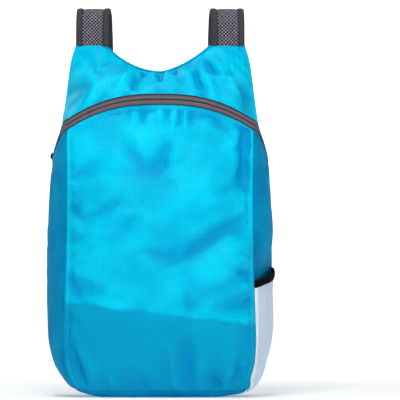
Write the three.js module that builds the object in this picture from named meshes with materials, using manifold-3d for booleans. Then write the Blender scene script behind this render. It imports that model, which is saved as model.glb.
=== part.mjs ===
// Packable backpack, filled and standing on its flat base with the zip closed.
// Millimetres, +Z up, +X to the right of a viewer who faces the front, which looks along -Y.

import * as THREE from "three";
import Module from "manifold-3d";
import { mergeVertices } from "three/addons/utils/BufferGeometryUtils.js";

// Body
const BAG_HEIGHT = 424;
const BAG_HALF_WIDTH = 136.5;
const FRONT_SEAM_HALF = 113;
const GUSSET_DEPTH = 112;
const FRONT_CROWN = 24;
const BACK_CROWN = 4;
const SHOULDER_HALF = 102;
const FABRIC_WALL = 1.6;
const SEAM_GAP = 0.3;
const BAND_HEIGHT = 8;

// Neckline scoop between the straps
const NECKLINE_HALF = 63;
const NECKLINE_DROP = 34.5;
const NECKLINE_BINDING_RADIUS = 1.5;

// Zip: its arch is highest in the middle and bends down both sides to the back seams. The
// slider rests at SLIDER_SHARE of the way round the left gusset.
const ZIP_TOP = 356.5;
const ZIP_ARCH_DROP = 30;
const ZIP_SIDE_DROP = 46;
const ZIP_SIDE_BEND = 2.2;
const ZIP_TAPE_WIDTH = 4.9;
const ZIP_COIL_WIDTH = 1.8;
const ZIP_WALL = 1.2;
const ZIP_COIL_RISE = 0.5;
const SLIDER_RADIUS = 3.3;
const SLIDER_LENGTH = 9;
const SLIDER_CLEARANCE = 0.6;
const SLIDER_SHARE = 0.88;
const PULL_LENGTH = 17;
const PULL_WIDTH = 5;
const PULL_THICKNESS = 1.4;

// Side pocket of mesh, on the right
const POCKET_MOUTH_FRONT = 139;
const POCKET_MOUTH_REAR = 155;
const POCKET_BULGE = 8.6;
const POCKET_WALL = 1.2;
const POCKET_DENT = 9;
const ELASTIC_WIDTH = 8.6;
const ELASTIC_WALL = 2;

// Shoulder straps
const STRAP_WIDTH = 40;
const STRAP_CENTRE = SHOULDER_HALF - STRAP_WIDTH / 2;
const STRAP_BINDING_WIDTH = 8;
const STRAP_THICKNESS = 4;
const STRAP_BINDING_THICKNESS = 5;
const STRAP_RISE = 41;
const STRAP_STANDOFF = 48;

// Lower ends of the straps
const WEBBING_WIDTH = 20;
const WEBBING_THICKNESS = 1.4;
const WEBBING_TAIL = 62;
const ADJUSTER_WIDTH = 27;
const ADJUSTER_LENGTH = 24;
const ADJUSTER_THICKNESS = 3;
const ADJUSTER_BAR = 4.4;
const CORNER_TAB_SIZE = 30;
const CORNER_TAB_INSET = 20;

// Colours
const BLUE = 0x10bfec;
const TEAL = 0x0284b8;
const TAPE_GREY = 0x5c5560;
const COIL_DARK = 0x2a2430;
const STRAP_GREY = 0x4a4a50;
const MESH_GREY = 0x69636f;
const BLACK = 0x14100f;
const POCKET_WHITE = 0xc3cfe0;

// Sections from the base to the shoulders. height is a share of BAG_HEIGHT, half of
// BAG_HALF_WIDTH, seam of FRONT_SEAM_HALF, depth of GUSSET_DEPTH and crown of FRONT_CROWN.
const SECTIONS = [
  { height: 0.0, half: 0.59, seam: 0.6, depth: 0.82, crown: 0.2 },
  { height: 0.013, half: 0.72, seam: 0.78, depth: 0.88, crown: 0.34 },
  { height: 0.031, half: 0.808, seam: 0.89, depth: 0.925, crown: 0.48 },
  { height: 0.05, half: 0.856, seam: 0.94, depth: 0.952, crown: 0.6 },
  { height: 0.076, half: 0.91, seam: 0.982, depth: 0.975, crown: 0.72 },
  { height: 0.104, half: 0.946, seam: 1.004, depth: 0.99, crown: 0.8 },
  { height: 0.16, half: 0.981, seam: 1.015, depth: 1.0, crown: 0.91 },
  { height: 0.26, half: 0.996, seam: 1.004, depth: 1.0, crown: 1.0 },
  { height: 0.39, half: 1.0, seam: 0.99, depth: 0.97, crown: 1.0 },
  { height: 0.557, half: 0.975, seam: 0.982, depth: 0.875, crown: 0.92 },
  { height: 0.67, half: 0.95, seam: 0.987, depth: 0.77, crown: 0.76 },
  { height: 0.708, half: 0.923, seam: 0.99, depth: 0.725, crown: 0.7 },
  { height: 0.755, half: 0.879, seam: 0.985, depth: 0.67, crown: 0.6 },
  { height: 0.84, half: 0.842, seam: 0.955, depth: 0.57, crown: 0.45 },
  { height: 0.953, half: 0.791, seam: 0.93, depth: 0.5, crown: 0.4 },
  { height: 1.0, half: 0.747, seam: 0.9, depth: 0.48, crown: 0.4 },
];

// Folds of the front panel, each a soft ridge (or a valley, where rise is negative) between
// two points. x1 and x2 are shares of FRONT_SEAM_HALF, z1 and z2 of BAG_HEIGHT, width of
// BAG_HALF_WIDTH and rise of FRONT_CROWN.
const FRONT_FOLDS = [
  { x1: 0.3, z1: 0.37, x2: 0.97, z2: 0.494, width: 0.06, rise: -0.12 },
  { x1: 0.36, z1: 0.35, x2: 0.99, z2: 0.462, width: 0.08, rise: 0.12 },
  { x1: -0.64, z1: 0.275, x2: 0.06, z2: 0.235, width: 0.12, rise: 0.14 },
  { x1: 0.06, z1: 0.235, x2: 0.95, z2: 0.21, width: 0.11, rise: 0.12 },
  { x1: -0.12, z1: 0.8, x2: -0.16, z2: 0.7, width: 0.045, rise: 0.1 },
  { x1: 0.1, z1: 0.8, x2: 0.12, z2: 0.69, width: 0.045, rise: -0.09 },
  { x1: 0.32, z1: 0.8, x2: 0.3, z2: 0.71, width: 0.045, rise: 0.08 },
  { x1: 0.1, z1: 0.13, x2: 0.14, z2: 0.02, width: 0.05, rise: 0.12 },
  { x1: 0.34, z1: 0.12, x2: 0.4, z2: 0.02, width: 0.05, rise: -0.12 },
  { x1: -0.98, z1: 0.17, x2: -0.74, z2: 0.03, width: 0.05, rise: 0.16 },
  { x1: 0.8, z1: 0.4, x2: 0.96, z2: 0.29, width: 0.05, rise: 0.12 },
  { x1: 0.72, z1: 0.08, x2: 0.9, z2: 0.03, width: 0.05, rise: -0.12 },
];

// Folds of the yoke. x1 and x2 are shares of SHOULDER_HALF, v1 and v2 of the way from the
// zip to the top edge, width of BAG_HALF_WIDTH and rise of FRONT_CROWN.
const YOKE_FOLDS = [
  { x1: -0.75, v1: 0.9, x2: -0.5, v2: 0.25, width: 0.06, rise: 0.16 },
  { x1: -0.6, v1: 0.9, x2: -0.2, v2: 0.35, width: 0.05, rise: -0.14 },
  { x1: -0.05, v1: 0.85, x2: -0.02, v2: 0.3, width: 0.06, rise: 0.1 },
  { x1: 0.55, v1: 0.9, x2: 0.2, v2: 0.35, width: 0.05, rise: -0.14 },
  { x1: 0.72, v1: 0.9, x2: 0.5, v2: 0.3, width: 0.06, rise: 0.16 },
];

// Route of a strap seen from the side: behind is the distance from the back panel as a share
// of STRAP_STANDOFF, height counts from the shoulder seam, as a share of STRAP_RISE above it
// and of BAG_HEIGHT below it, and inward is the shift to the middle as a share of STRAP_WIDTH.
const STRAP_ROUTE = [
  { behind: -0.05, height: 0.0, inward: 0.0 },
  { behind: -0.05, height: 0.35, inward: 0.0 },
  { behind: -0.01, height: 0.72, inward: 0.005 },
  { behind: 0.1, height: 0.95, inward: 0.02 },
  { behind: 0.27, height: 1.0, inward: 0.05 },
  { behind: 0.42, height: 0.86, inward: 0.08 },
  { behind: 0.52, height: 0.5, inward: 0.1 },
  { behind: 0.6, height: -0.02, inward: 0.12 },
  { behind: 0.78, height: -0.12, inward: 0.13 },
  { behind: 0.95, height: -0.25, inward: 0.12 },
  { behind: 1.0, height: -0.4, inward: 0.08 },
  { behind: 0.9, height: -0.55, inward: 0.02 },
  { behind: 0.68, height: -0.67, inward: -0.04 },
  { behind: 0.55, height: -0.715, inward: -0.07 },
];

// Shares of the way round the body, from one back seam (-1) by the front to the other (1)
const SEAM_SHARE = 0.6;
const GUSSET_WIDEST = 0.8;
const FRONT_STEPS = 20;
const GUSSET_STEPS = 7;
const FRONT_ROWS = 26;
const YOKE_ROWS = 7;
const BAND_ROWS = 4;
const BACK_ROWS = 12;
const POCKET_ROWS = 13;
const STRAP_STEPS = 34;

const BACK_FACE = GUSSET_DEPTH / 2;
const SHELL_END = BACK_FACE - FABRIC_WALL - SEAM_GAP;

const X_AXIS = new THREE.Vector3(1, 0, 0);
const DOWN = new THREE.Vector3(0, 0, -1);

const mix = THREE.MathUtils.lerp;
const clamp01 = (value) => Math.min(1, Math.max(0, value));

// A column of a table at a share of the height, through its rows by a smooth cubic that
// doesn't overshoot them.
function columnAt(table, key, column, at) {
  let i = 0;
  while (i < table.length - 2 && at > table[i + 1][key]) {
    i += 1;
  }
  const slope = (k) => (table[k + 1][column] - table[k][column]) / (table[k + 1][key] - table[k][key]);
  const tangent = (k) => {
    if (k === 0 || k === table.length - 1) {
      return slope(k === 0 ? 0 : k - 1);
    }
    const before = slope(k - 1);
    const after = slope(k);
    return before * after <= 0 ? 0 : (2 * before * after) / (before + after);
  };
  const span = table[i + 1][key] - table[i][key];
  const t = clamp01((at - table[i][key]) / span);
  const [m0, m1] = [tangent(i) * span, tangent(i + 1) * span];
  const [p0, p1] = [table[i][column], table[i + 1][column]];
  const [t2, t3] = [t * t, t * t * t];
  return (2 * t3 - 3 * t2 + 1) * p0 + (t3 - 2 * t2 + t) * m0 + (3 * t2 - 2 * t3) * p1 + (t3 - t2) * m1;
}

const sectionAt = (column, z) => columnAt(SECTIONS, "height", column, z / BAG_HEIGHT);
const halfWidth = (z) => BAG_HALF_WIDTH * sectionAt("half", z);
const seamHalf = (z) => FRONT_SEAM_HALF * sectionAt("seam", z);
const gussetShare = (a) => clamp01((Math.abs(a) - SEAM_SHARE) / (1 - SEAM_SHARE));

// How far out a gusset stands at a share of its way back, from 0 at the front seam
const gussetBow = (q) => 1 - ((q - GUSSET_WIDEST) / GUSSET_WIDEST) ** 2;
const backSeamHalf = (z) => mix(seamHalf(z), halfWidth(z), gussetBow(1));

// Height of a ridge that runs between two points and dies away round them
function ridge(px, pz, x1, z1, x2, z2, width) {
  const length2 = (x2 - x1) ** 2 + (z2 - z1) ** 2;
  const t = clamp01(((px - x1) * (x2 - x1) + (pz - z1) * (z2 - z1)) / length2);
  const away = Math.hypot(px - mix(x1, x2, t), pz - mix(z1, z2, t));
  return Math.exp(-((away / width) ** 2));
}

function frontFold(x, z) {
  let rise = 0;
  for (const f of FRONT_FOLDS) {
    const width = f.width * BAG_HALF_WIDTH;
    const [x1, x2] = [f.x1 * FRONT_SEAM_HALF, f.x2 * FRONT_SEAM_HALF];
    rise += f.rise * ridge(x, z, x1, f.z1 * BAG_HEIGHT, x2, f.z2 * BAG_HEIGHT, width);
  }
  return rise * FRONT_CROWN;
}

function yokeFold(x, along, reach) {
  let rise = 0;
  for (const f of YOKE_FOLDS) {
    const width = f.width * BAG_HALF_WIDTH;
    const [x1, x2] = [f.x1 * SHOULDER_HALF, f.x2 * SHOULDER_HALF];
    rise += f.rise * ridge(x, along * reach, x1, f.v1 * reach, x2, f.v2 * reach, width);
  }
  return rise * FRONT_CROWN;
}

// Height of the zip's middle line round the body
function zipLine(a) {
  const across = clamp01(Math.abs(a) / SEAM_SHARE);
  return ZIP_TOP - ZIP_ARCH_DROP * across ** 2.6 - ZIP_SIDE_DROP * gussetShare(a) ** ZIP_SIDE_BEND;
}

// The right gusset is pressed in behind the filled pocket
function pocketDent(a, z) {
  if (a < SEAM_SHARE) {
    return 0;
  }
  const q = gussetShare(a);
  const from = clamp01((z - BAND_HEIGHT) / (0.3 * POCKET_MOUTH_FRONT));
  const to = clamp01((1.3 * POCKET_MOUTH_REAR - z) / (0.35 * POCKET_MOUTH_REAR));
  const smooth = (t) => t * t * (3 - 2 * t);
  return POCKET_DENT * Math.sqrt(Math.sin(Math.PI * q)) * smooth(from) * smooth(to);
}

// Outer face of the body below the yoke: a is the way round it, z the height
function bodyPoint(a, z) {
  const side = Math.sign(a) || 1;
  const depth = GUSSET_DEPTH * sectionAt("depth", z);
  const seamY = BACK_FACE - depth;
  const q = gussetShare(a);
  if (q > 0) {
    const x = mix(seamHalf(z), halfWidth(z), gussetBow(q)) - pocketDent(a, z);
    return new THREE.Vector3(side * x, mix(seamY, SHELL_END, q), z);
  }
  const across = a / SEAM_SHARE;
  const crown = FRONT_CROWN * sectionAt("crown", z);
  return new THREE.Vector3(seamHalf(z) * across, seamY - crown * (1 - across * across), z);
}

// Height of the top edge: level under the straps and scooped between them. The left half of
// the scoop is rounder than the right.
function topEdge(x) {
  const share = clamp01(Math.abs(x) / NECKLINE_HALF);
  return BAG_HEIGHT - NECKLINE_DROP * (1 - share ** (x < 0 ? 2.1 : 1.5));
}

function topPoint(a) {
  const z = topEdge(a * SHOULDER_HALF);
  return new THREE.Vector3(a * backSeamHalf(z), SHELL_END, z);
}

const zipHalf = ZIP_COIL_WIDTH / 2 + SEAM_GAP + ZIP_TAPE_WIDTH;

// Outer face of the yoke: v runs from the zip (0) to the top edge (1)
function yokePoint(a, v) {
  const foot = bodyPoint(a, zipLine(a) + zipHalf + SEAM_GAP);
  const head = topPoint(a);
  const rise = mix(v, Math.sin((v * Math.PI) / 2), 0.6);
  const back = mix(v, 1 - Math.cos((v * Math.PI) / 2), 0.6);
  const z = mix(foot.z, head.z, rise);
  const straight = mix(backSeamHalf(zipLine(1) + zipHalf), backSeamHalf(BAG_HEIGHT), clamp01(
    (z - zipLine(1) - zipHalf) / (BAG_HEIGHT - zipLine(1) - zipHalf)));
  const outline = mix(1, backSeamHalf(z) / straight, Math.abs(a) * Math.sin(v * Math.PI) ** 0.5);
  return new THREE.Vector3(mix(foot.x, head.x, rise) * outline, mix(foot.y, head.y, back), z);
}

// Outward normal of a face given as a function of two shares
function normalOf(face, a, v, stepA, stepV) {
  const alongA = face(Math.min(1, a + stepA), v).sub(face(Math.max(-1, a - stepA), v));
  const alongV = face(a, Math.min(1, v + stepV)).sub(face(a, Math.max(0, v - stepV)));
  return alongA.cross(alongV).normalize();
}

// One closed wall from rows of outer points and the same rows of inner points
function wallGeometry(outer, inner) {
  const rows = outer.length;
  const columns = outer[0].length;
  const positions = [];
  const index = [];
  const put = (grid) => grid.forEach((row) => row.forEach((p) => positions.push(p.x, p.y, p.z)));
  put(outer);
  put(inner);
  const out = (j, i) => j * columns + i;
  const into = (j, i) => rows * columns + j * columns + i;
  const quad = (a, b, c, d) => index.push(a, b, c, a, c, d);
  for (let j = 0; j < rows - 1; j += 1) {
    for (let i = 0; i < columns - 1; i += 1) {
      quad(out(j, i), out(j, i + 1), out(j + 1, i + 1), out(j + 1, i));
      quad(into(j, i), into(j + 1, i), into(j + 1, i + 1), into(j, i + 1));
    }
  }
  for (let i = 0; i < columns - 1; i += 1) {
    quad(out(0, i + 1), out(0, i), into(0, i), into(0, i + 1));
    quad(out(rows - 1, i), out(rows - 1, i + 1), into(rows - 1, i + 1), into(rows - 1, i));
  }
  for (let j = 0; j < rows - 1; j += 1) {
    quad(out(j, 0), out(j + 1, 0), into(j + 1, 0), into(j, 0));
    quad(out(j + 1, columns - 1), out(j, columns - 1), into(j, columns - 1), into(j + 1, columns - 1));
  }
  const geometry = new THREE.BufferGeometry();
  geometry.setAttribute("position", new THREE.Float32BufferAttribute(positions, 3));
  geometry.setIndex(index);
  geometry.computeVertexNormals();
  return geometry;
}

// A wall whose outer points and normals come from a function of column and row
function wall(columns, rows, thickness, pointAndNormal) {
  const outer = [];
  const inner = [];
  for (const row of rows) {
    const pairs = columns.map((column) => pointAndNormal(column, row));
    outer.push(pairs.map(([point]) => point));
    inner.push(pairs.map(([point, normal]) => point.clone().addScaledVector(normal, -thickness)));
  }
  return wallGeometry(outer, inner);
}

const steps = (count) => Array.from({ length: count + 1 }, (_, i) => i / count);

// Ways round the body: those of the front, of one gusset and of the whole
const frontWays = steps(FRONT_STEPS).map((t) => (2 * t - 1) * SEAM_SHARE);
const rightWays = steps(GUSSET_STEPS).map((t) => mix(SEAM_SHARE, 1, t));
const leftWays = rightWays.map((a) => -a).reverse();
const allWays = [...leftWays.slice(0, -1), ...frontWays, ...rightWays.slice(1)];

// The normal of the body, kept in the plane of the back seam where the shell ends there
function bodyNormal(a, z) {
  const face = (way, share) => bodyPoint(way, share * BAG_HEIGHT);
  const normal = normalOf(face, a, z / BAG_HEIGHT, 0.012, 0.004);
  if (Math.abs(a) > 0.999) {
    normal.setY(0).normalize();
  }
  return normal;
}

// A way moved off the front seam by half the seam gap, to the side that keep names
function offSeam(a, keep) {
  if (Math.abs(Math.abs(a) - SEAM_SHARE) > 1e-6) {
    return a;
  }
  const frontShift = (SEAM_GAP / 2 / FRONT_SEAM_HALF) * SEAM_SHARE;
  const gussetShift = (SEAM_GAP / 2 / GUSSET_DEPTH) * (1 - SEAM_SHARE);
  return keep === "front" ? a - Math.sign(a) * frontShift : a + Math.sign(a) * gussetShift;
}

// Folds fade out towards the edges of their panel
const fade = (share) => clamp01(6 * Math.min(share, 1 - share));

function panel(ways, keep, folded) {
  const rows = steps(FRONT_ROWS).map((t) => t ** 1.15);
  return wall(ways, rows, FABRIC_WALL, (a, t) => {
    const z = mix(BAND_HEIGHT + SEAM_GAP / 2, zipLine(a) - zipHalf - SEAM_GAP, t);
    const normal = bodyNormal(a, z);
    const point = bodyPoint(offSeam(a, keep), z);
    const edge = fade(t) * fade((a / SEAM_SHARE + 1) / 2);
    const rise = folded ? frontFold(point.x, z) * edge : 0;
    return [point.addScaledVector(normal, rise), normal];
  });
}

function bottomBand() {
  const rows = steps(BAND_ROWS).map((t) => t ** 1.6);
  return wall(allWays, rows, FABRIC_WALL, (a, t) => {
    const z = t * (BAND_HEIGHT - SEAM_GAP / 2);
    const normal = t === 0 ? DOWN.clone() : bodyNormal(a, z);
    return [bodyPoint(a, z), normal];
  });
}

function basePanel() {
  const inset = 1.6 * SEAM_GAP;
  const rim = allWays.map((a) => {
    const p = bodyPoint(a, 0);
    return new THREE.Vector2(p.x, p.y).setLength(Math.hypot(p.x, p.y) - inset);
  });
  return new THREE.ExtrudeGeometry(new THREE.Shape(rim), { depth: FABRIC_WALL, bevelEnabled: false });
}

function backPanel() {
  const ways = allWays;
  const rows = steps(BACK_ROWS).map((t) => t ** 1.3);
  const foot = 2 * SEAM_GAP;
  const outer = [];
  const inner = [];
  for (const t of rows) {
    const place = (a, y) => {
      const z = mix(foot, topPoint(-a).z, t);
      return new THREE.Vector3(-a * backSeamHalf(z), y, z);
    };
    const crown = (a) => BACK_CROWN * (1 - a ** 4) * Math.sin(Math.PI * t) ** 0.7;
    outer.push(ways.map((a) => place(a, BACK_FACE + crown(a))));
    inner.push(ways.map((a) => place(a, BACK_FACE - FABRIC_WALL + crown(a))));
  }
  return wallGeometry(outer, inner);
}

function topYoke() {
  return wall(allWays, steps(YOKE_ROWS), FABRIC_WALL, (a, v) => {
    const lowest = zipLine(a) + zipHalf + SEAM_GAP;
    const normal = v === 0 ? bodyNormal(a, lowest) : normalOf(yokePoint, a, v, 0.02, 0.02);
    if (v === 1 || Math.abs(a) > 0.999) {
      normal.setY(0).normalize();
    }
    const point = yokePoint(a, v);
    const edge = clamp01(4 * Math.min(v, 1 - v)) * clamp01(5 * (1 - Math.abs(a)));
    const rise = yokeFold(point.x, v, BAG_HEIGHT - ZIP_TOP) * edge;
    return [point.addScaledVector(normal, rise), normal];
  });
}

// A strip that follows the zip line, between two heights counted from it
function zipStrip(low, high, rise, thickness) {
  return wall(allWays, [low, high], thickness, (a, offset) => {
    const middle = zipLine(a);
    const normal = bodyNormal(a, middle + offset);
    return [bodyPoint(a, middle + offset).addScaledVector(normal, rise), normal];
  });
}

// Moves a geometry into a frame given by its three axes and its place
function placed(geometry, xAxis, yAxis, zAxis, at) {
  const matrix = new THREE.Matrix4().makeBasis(xAxis, yAxis, zAxis).setPosition(at);
  return geometry.applyMatrix4(matrix);
}

const wasm = await Module();
wasm.setup();

function toSolid(geometry) {
  const bare = geometry.clone();
  bare.deleteAttribute("normal");
  bare.deleteAttribute("uv");
  const merged = mergeVertices(bare, 1e-4);
  const vertProperties = Float32Array.from(merged.attributes.position.array);
  const triVerts = Uint32Array.from(merged.index.array);
  return new wasm.Manifold(new wasm.Mesh({ numProp: 3, vertProperties, triVerts }));
}

function fromSolid(solid) {
  const mesh = solid.getMesh();
  const geometry = new THREE.BufferGeometry();
  geometry.setAttribute("position", new THREE.BufferAttribute(mesh.vertProperties, 3));
  geometry.setIndex(new THREE.BufferAttribute(mesh.triVerts, 1));
  geometry.computeVertexNormals();
  return geometry;
}

// Half-round slider on the left end of the zip, with a flat pull that lies behind it
function zipperSlider() {
  const a = -mix(SEAM_SHARE, 1, SLIDER_SHARE);
  const z = zipLine(a);
  const out = bodyNormal(a, z);
  const along = bodyPoint(a - 0.02, zipLine(a - 0.02)).sub(bodyPoint(a + 0.02, zipLine(a + 0.02)));
  along.addScaledVector(out, -along.dot(out)).normalize();
  const up = new THREE.Vector3().crossVectors(out, along);
  const half = new THREE.Shape();
  half.absarc(0, 0, SLIDER_RADIUS, 0, Math.PI, false);
  half.closePath();
  const shell = new THREE.ExtrudeGeometry(half, { depth: SLIDER_LENGTH, bevelEnabled: false, curveSegments: 10 });
  shell.translate(0, 0, -SLIDER_LENGTH / 2);
  const pull = new THREE.BoxGeometry(PULL_WIDTH, PULL_THICKNESS, PULL_LENGTH);
  pull.translate(0, PULL_THICKNESS / 2 + SEAM_GAP, PULL_LENGTH / 2);
  const both = fromSolid(toSolid(shell).add(toSolid(pull)));
  const lift = ZIP_COIL_RISE + SLIDER_CLEARANCE;
  const at = bodyPoint(a, z).addScaledVector(out, lift);
  return placed(both, up, out, along, at);
}

function necklineBinding() {
  const ends = NECKLINE_HALF - 1.5 * NECKLINE_BINDING_RADIUS;
  const lift = NECKLINE_BINDING_RADIUS + 2 * SEAM_GAP;
  const points = steps(26).map((t) => {
    const a = mix(-ends, ends, t) / SHOULDER_HALF;
    const top = topPoint(a);
    const along = topPoint(a + 0.01).sub(topPoint(a - 0.01)).normalize();
    return new THREE.Vector3(top.x - along.z * lift, BACK_FACE - FABRIC_WALL, top.z + along.x * lift);
  });
  const path = new THREE.CatmullRomCurve3(points);
  const circle = new THREE.Shape();
  circle.absarc(0, 0, NECKLINE_BINDING_RADIUS, 0, 2 * Math.PI, false);
  return new THREE.ExtrudeGeometry(circle, { steps: 26, extrudePath: path, curveSegments: 4 });
}

const pocketMouth = (q) => mix(POCKET_MOUTH_FRONT, POCKET_MOUTH_REAR, q);

// Outer face of the filled pocket over the dented gusset
function pocketPoint(a, z, thickness) {
  const q = gussetShare(a);
  const filled = Math.sin(Math.PI * clamp01((z - BAND_HEIGHT) / (1.7 * POCKET_MOUTH_REAR))) ** 0.5;
  const belly = POCKET_BULGE * Math.sin(Math.PI * q) ** 0.6 * filled;
  return bodyPoint(a, z).addScaledVector(bodyNormal(a, z), belly + thickness + SEAM_GAP);
}

function pocketStrip(lowOf, highOf, thickness, rowCount) {
  const edge = 0.012;
  const ways = rightWays.map((a) => Math.min(1 - edge, Math.max(SEAM_SHARE + edge, a)));
  const rows = steps(rowCount).map((t) => t ** 1.5);
  return wall(ways, rows, thickness, (a, t) => {
    const z = mix(lowOf(gussetShare(a)), highOf(gussetShare(a)), t);
    return [pocketPoint(a, z, thickness), bodyNormal(a, z)];
  });
}

const pocketMesh = () => pocketStrip(() => BAND_HEIGHT + SEAM_GAP / 2,
  (q) => pocketMouth(q) - ELASTIC_WIDTH - SEAM_GAP, POCKET_WALL, POCKET_ROWS);
const pocketElastic = () => pocketStrip((q) => pocketMouth(q) - ELASTIC_WIDTH, pocketMouth, ELASTIC_WALL, 2);

// Middle line of a strap from its shoulder seam to its lower end
function strapCurve(side) {
  const points = STRAP_ROUTE.map((p) => {
    const reach = p.height > 0 ? STRAP_RISE : BAG_HEIGHT;
    const x = STRAP_CENTRE - p.inward * STRAP_WIDTH;
    const z = BAG_HEIGHT + SEAM_GAP + p.height * reach;
    return new THREE.Vector3(side * x, BACK_FACE + p.behind * STRAP_STANDOFF, z);
  });
  return new THREE.CatmullRomCurve3(points, false, "centripetal");
}

// A flat band along points, from one distance to another on the +X side of them
function ribbon(points, from, to, thickness) {
  const positions = [];
  const index = [];
  points.forEach((point, i) => {
    const tangent = points[Math.min(i + 1, points.length - 1)].clone().sub(points[Math.max(i - 1, 0)]);
    tangent.normalize();
    const across = X_AXIS.clone().addScaledVector(tangent, -tangent.dot(X_AXIS)).normalize();
    const face = new THREE.Vector3().crossVectors(across, tangent);
    const corners = [[from, -0.5], [to, -0.5], [to, 0.5], [from, 0.5]];
    for (const [shift, half] of corners) {
      const p = point.clone().addScaledVector(across, shift).addScaledVector(face, half * thickness);
      positions.push(p.x, p.y, p.z);
    }
  });
  const quad = (a, b, c, d) => index.push(a, b, c, a, c, d);
  for (let i = 0; i < points.length - 1; i += 1) {
    for (let k = 0; k < 4; k += 1) {
      const next = (k + 1) % 4;
      quad(4 * i + k, 4 * i + 4 + k, 4 * i + 4 + next, 4 * i + next);
    }
  }
  const last = 4 * (points.length - 1);
  quad(0, 1, 2, 3);
  quad(last, last + 3, last + 2, last + 1);
  const geometry = new THREE.BufferGeometry();
  geometry.setAttribute("position", new THREE.Float32BufferAttribute(positions, 3));
  geometry.setIndex(index);
  geometry.computeVertexNormals();
  return geometry;
}

// Frame of a strap's lower end: its place, the way on down the strap, across it and its face
function strapEnd(side) {
  const curve = strapCurve(side);
  const at = curve.getPoint(1);
  const down = curve.getPoint(1).sub(curve.getPoint(0.985)).normalize();
  const across = X_AXIS.clone().addScaledVector(down, -down.dot(X_AXIS)).normalize();
  const face = new THREE.Vector3().crossVectors(across, down);
  const place = (s, n) => at.clone().addScaledVector(down, s).addScaledVector(face, n);
  return { place, down, across, face };
}

const barTop = 3.5;
const barClear = ADJUSTER_THICKNESS / 2 + SEAM_GAP + WEBBING_THICKNESS / 2;

// A turn of webbing round a bar: middle points of a half circle from one face to the other
function turnRound(place, barEnd, towards) {
  return steps(6).map((t) => {
    const angle = Math.PI * t;
    return place(barEnd + towards * barClear * Math.sin(angle), barClear * Math.cos(angle));
  });
}

// The short loop of webbing that holds the adjuster to the strap
function strapLoop(side) {
  const { place } = strapEnd(side);
  const start = SEAM_GAP;
  const turn = turnRound(place, barTop + ADJUSTER_BAR, 1);
  const points = [place(start, barClear), ...turn, place(start, -barClear)];
  return ribbon(points, -WEBBING_WIDTH / 2, WEBBING_WIDTH / 2, WEBBING_THICKNESS);
}

// Plain frame of the adjuster, round one window
function strapAdjuster(side) {
  const { place, down, across, face } = strapEnd(side);
  const half = ADJUSTER_WIDTH / 2;
  const outline = new THREE.Shape();
  outline.moveTo(-half, 0);
  outline.lineTo(half, 0);
  outline.lineTo(half, ADJUSTER_LENGTH);
  outline.lineTo(-half, ADJUSTER_LENGTH);
  outline.closePath();
  const window = new THREE.Path();
  const inside = WEBBING_WIDTH / 2 + SEAM_GAP + 0.5;
  window.moveTo(-inside, ADJUSTER_BAR);
  window.lineTo(-inside, ADJUSTER_LENGTH - ADJUSTER_BAR);
  window.lineTo(inside, ADJUSTER_LENGTH - ADJUSTER_BAR);
  window.lineTo(inside, ADJUSTER_BAR);
  window.closePath();
  outline.holes.push(window);
  const frame = new THREE.ExtrudeGeometry(outline, { depth: ADJUSTER_THICKNESS, bevelEnabled: false });
  frame.translate(0, 0, -ADJUSTER_THICKNESS / 2);
  return placed(frame, across, down, face, place(barTop, 0));
}

// Middle of the corner tab on the back panel, where the webbing is sewn on
function cornerPoint(side) {
  const z = CORNER_TAB_INSET + CORNER_TAB_SIZE / 2;
  const x = backSeamHalf(CORNER_TAB_INSET) - CORNER_TAB_SIZE / 2 - 2 * FABRIC_WALL;
  return new THREE.Vector3(side * x, BACK_FACE, z);
}

const tabFace = BACK_CROWN / 2 + FABRIC_WALL + SEAM_GAP;

// Webbing from its free tail, round the adjuster's lower bar and down to the corner tab
function strapWebbing(side) {
  const { place } = strapEnd(side);
  const clear = barTop + ADJUSTER_LENGTH + 1;
  const turn = turnRound(place, barTop + ADJUSTER_LENGTH - ADJUSTER_BAR, -1);
  turn.unshift(place(clear, barClear));
  turn.push(place(clear, -barClear));
  const sewn = cornerPoint(side);
  const lift = tabFace + SEAM_GAP + WEBBING_THICKNESS / 2;
  const landing = new THREE.Vector3(sewn.x, BACK_FACE + lift, sewn.z + CORNER_TAB_SIZE / 3);
  const end = new THREE.Vector3(sewn.x, BACK_FACE + lift, sewn.z - CORNER_TAB_SIZE / 4);
  const first = turn[turn.length - 1];
  const run = [0.3, 0.6].map((t) => first.clone().lerp(landing, t).add(new THREE.Vector3(0, 3, 0)));
  const tail = turn[0].clone().add(new THREE.Vector3(0, 10, -WEBBING_TAIL));
  const middle = turn[0].clone().lerp(tail, 0.5).add(new THREE.Vector3(0, 3, 0));
  const points = [tail, middle, ...turn, ...run, landing, end];
  return ribbon(points, -WEBBING_WIDTH / 2, WEBBING_WIDTH / 2, WEBBING_THICKNESS);
}

function cornerTab(side) {
  const half = CORNER_TAB_SIZE / 2;
  const shape = new THREE.Shape();
  shape.moveTo(-half, -half);
  shape.lineTo(half, -half);
  shape.lineTo(half, half);
  shape.lineTo(-half, half);
  shape.closePath();
  const plate = new THREE.ExtrudeGeometry(shape, { depth: FABRIC_WALL, bevelEnabled: false });
  const at = cornerPoint(side);
  at.y += tabFace;
  return placed(plate, X_AXIS, new THREE.Vector3(0, 0, 1), new THREE.Vector3(0, -1, 0), at);
}

const backpack = new THREE.Group();

function add(name, geometry, color, roughness, metalness = 0) {
  const mesh = new THREE.Mesh(geometry, new THREE.MeshStandardMaterial({ color, roughness, metalness }));
  mesh.name = name;
  backpack.add(mesh);
  return mesh;
}

add("front_panel", panel(frontWays, "front", true), BLUE, 0.5);
add("side_gusset_left", panel(leftWays, "gusset", false), TEAL, 0.5);
add("side_gusset_right", panel(rightWays, "gusset", false), TEAL, 0.5);
add("bottom_band", bottomBand(), TEAL, 0.5);
add("base_panel", basePanel(), TEAL, 0.5);
add("back_panel", backPanel(), BLUE, 0.5);
add("top_yoke", topYoke(), BLUE, 0.5);

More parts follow.
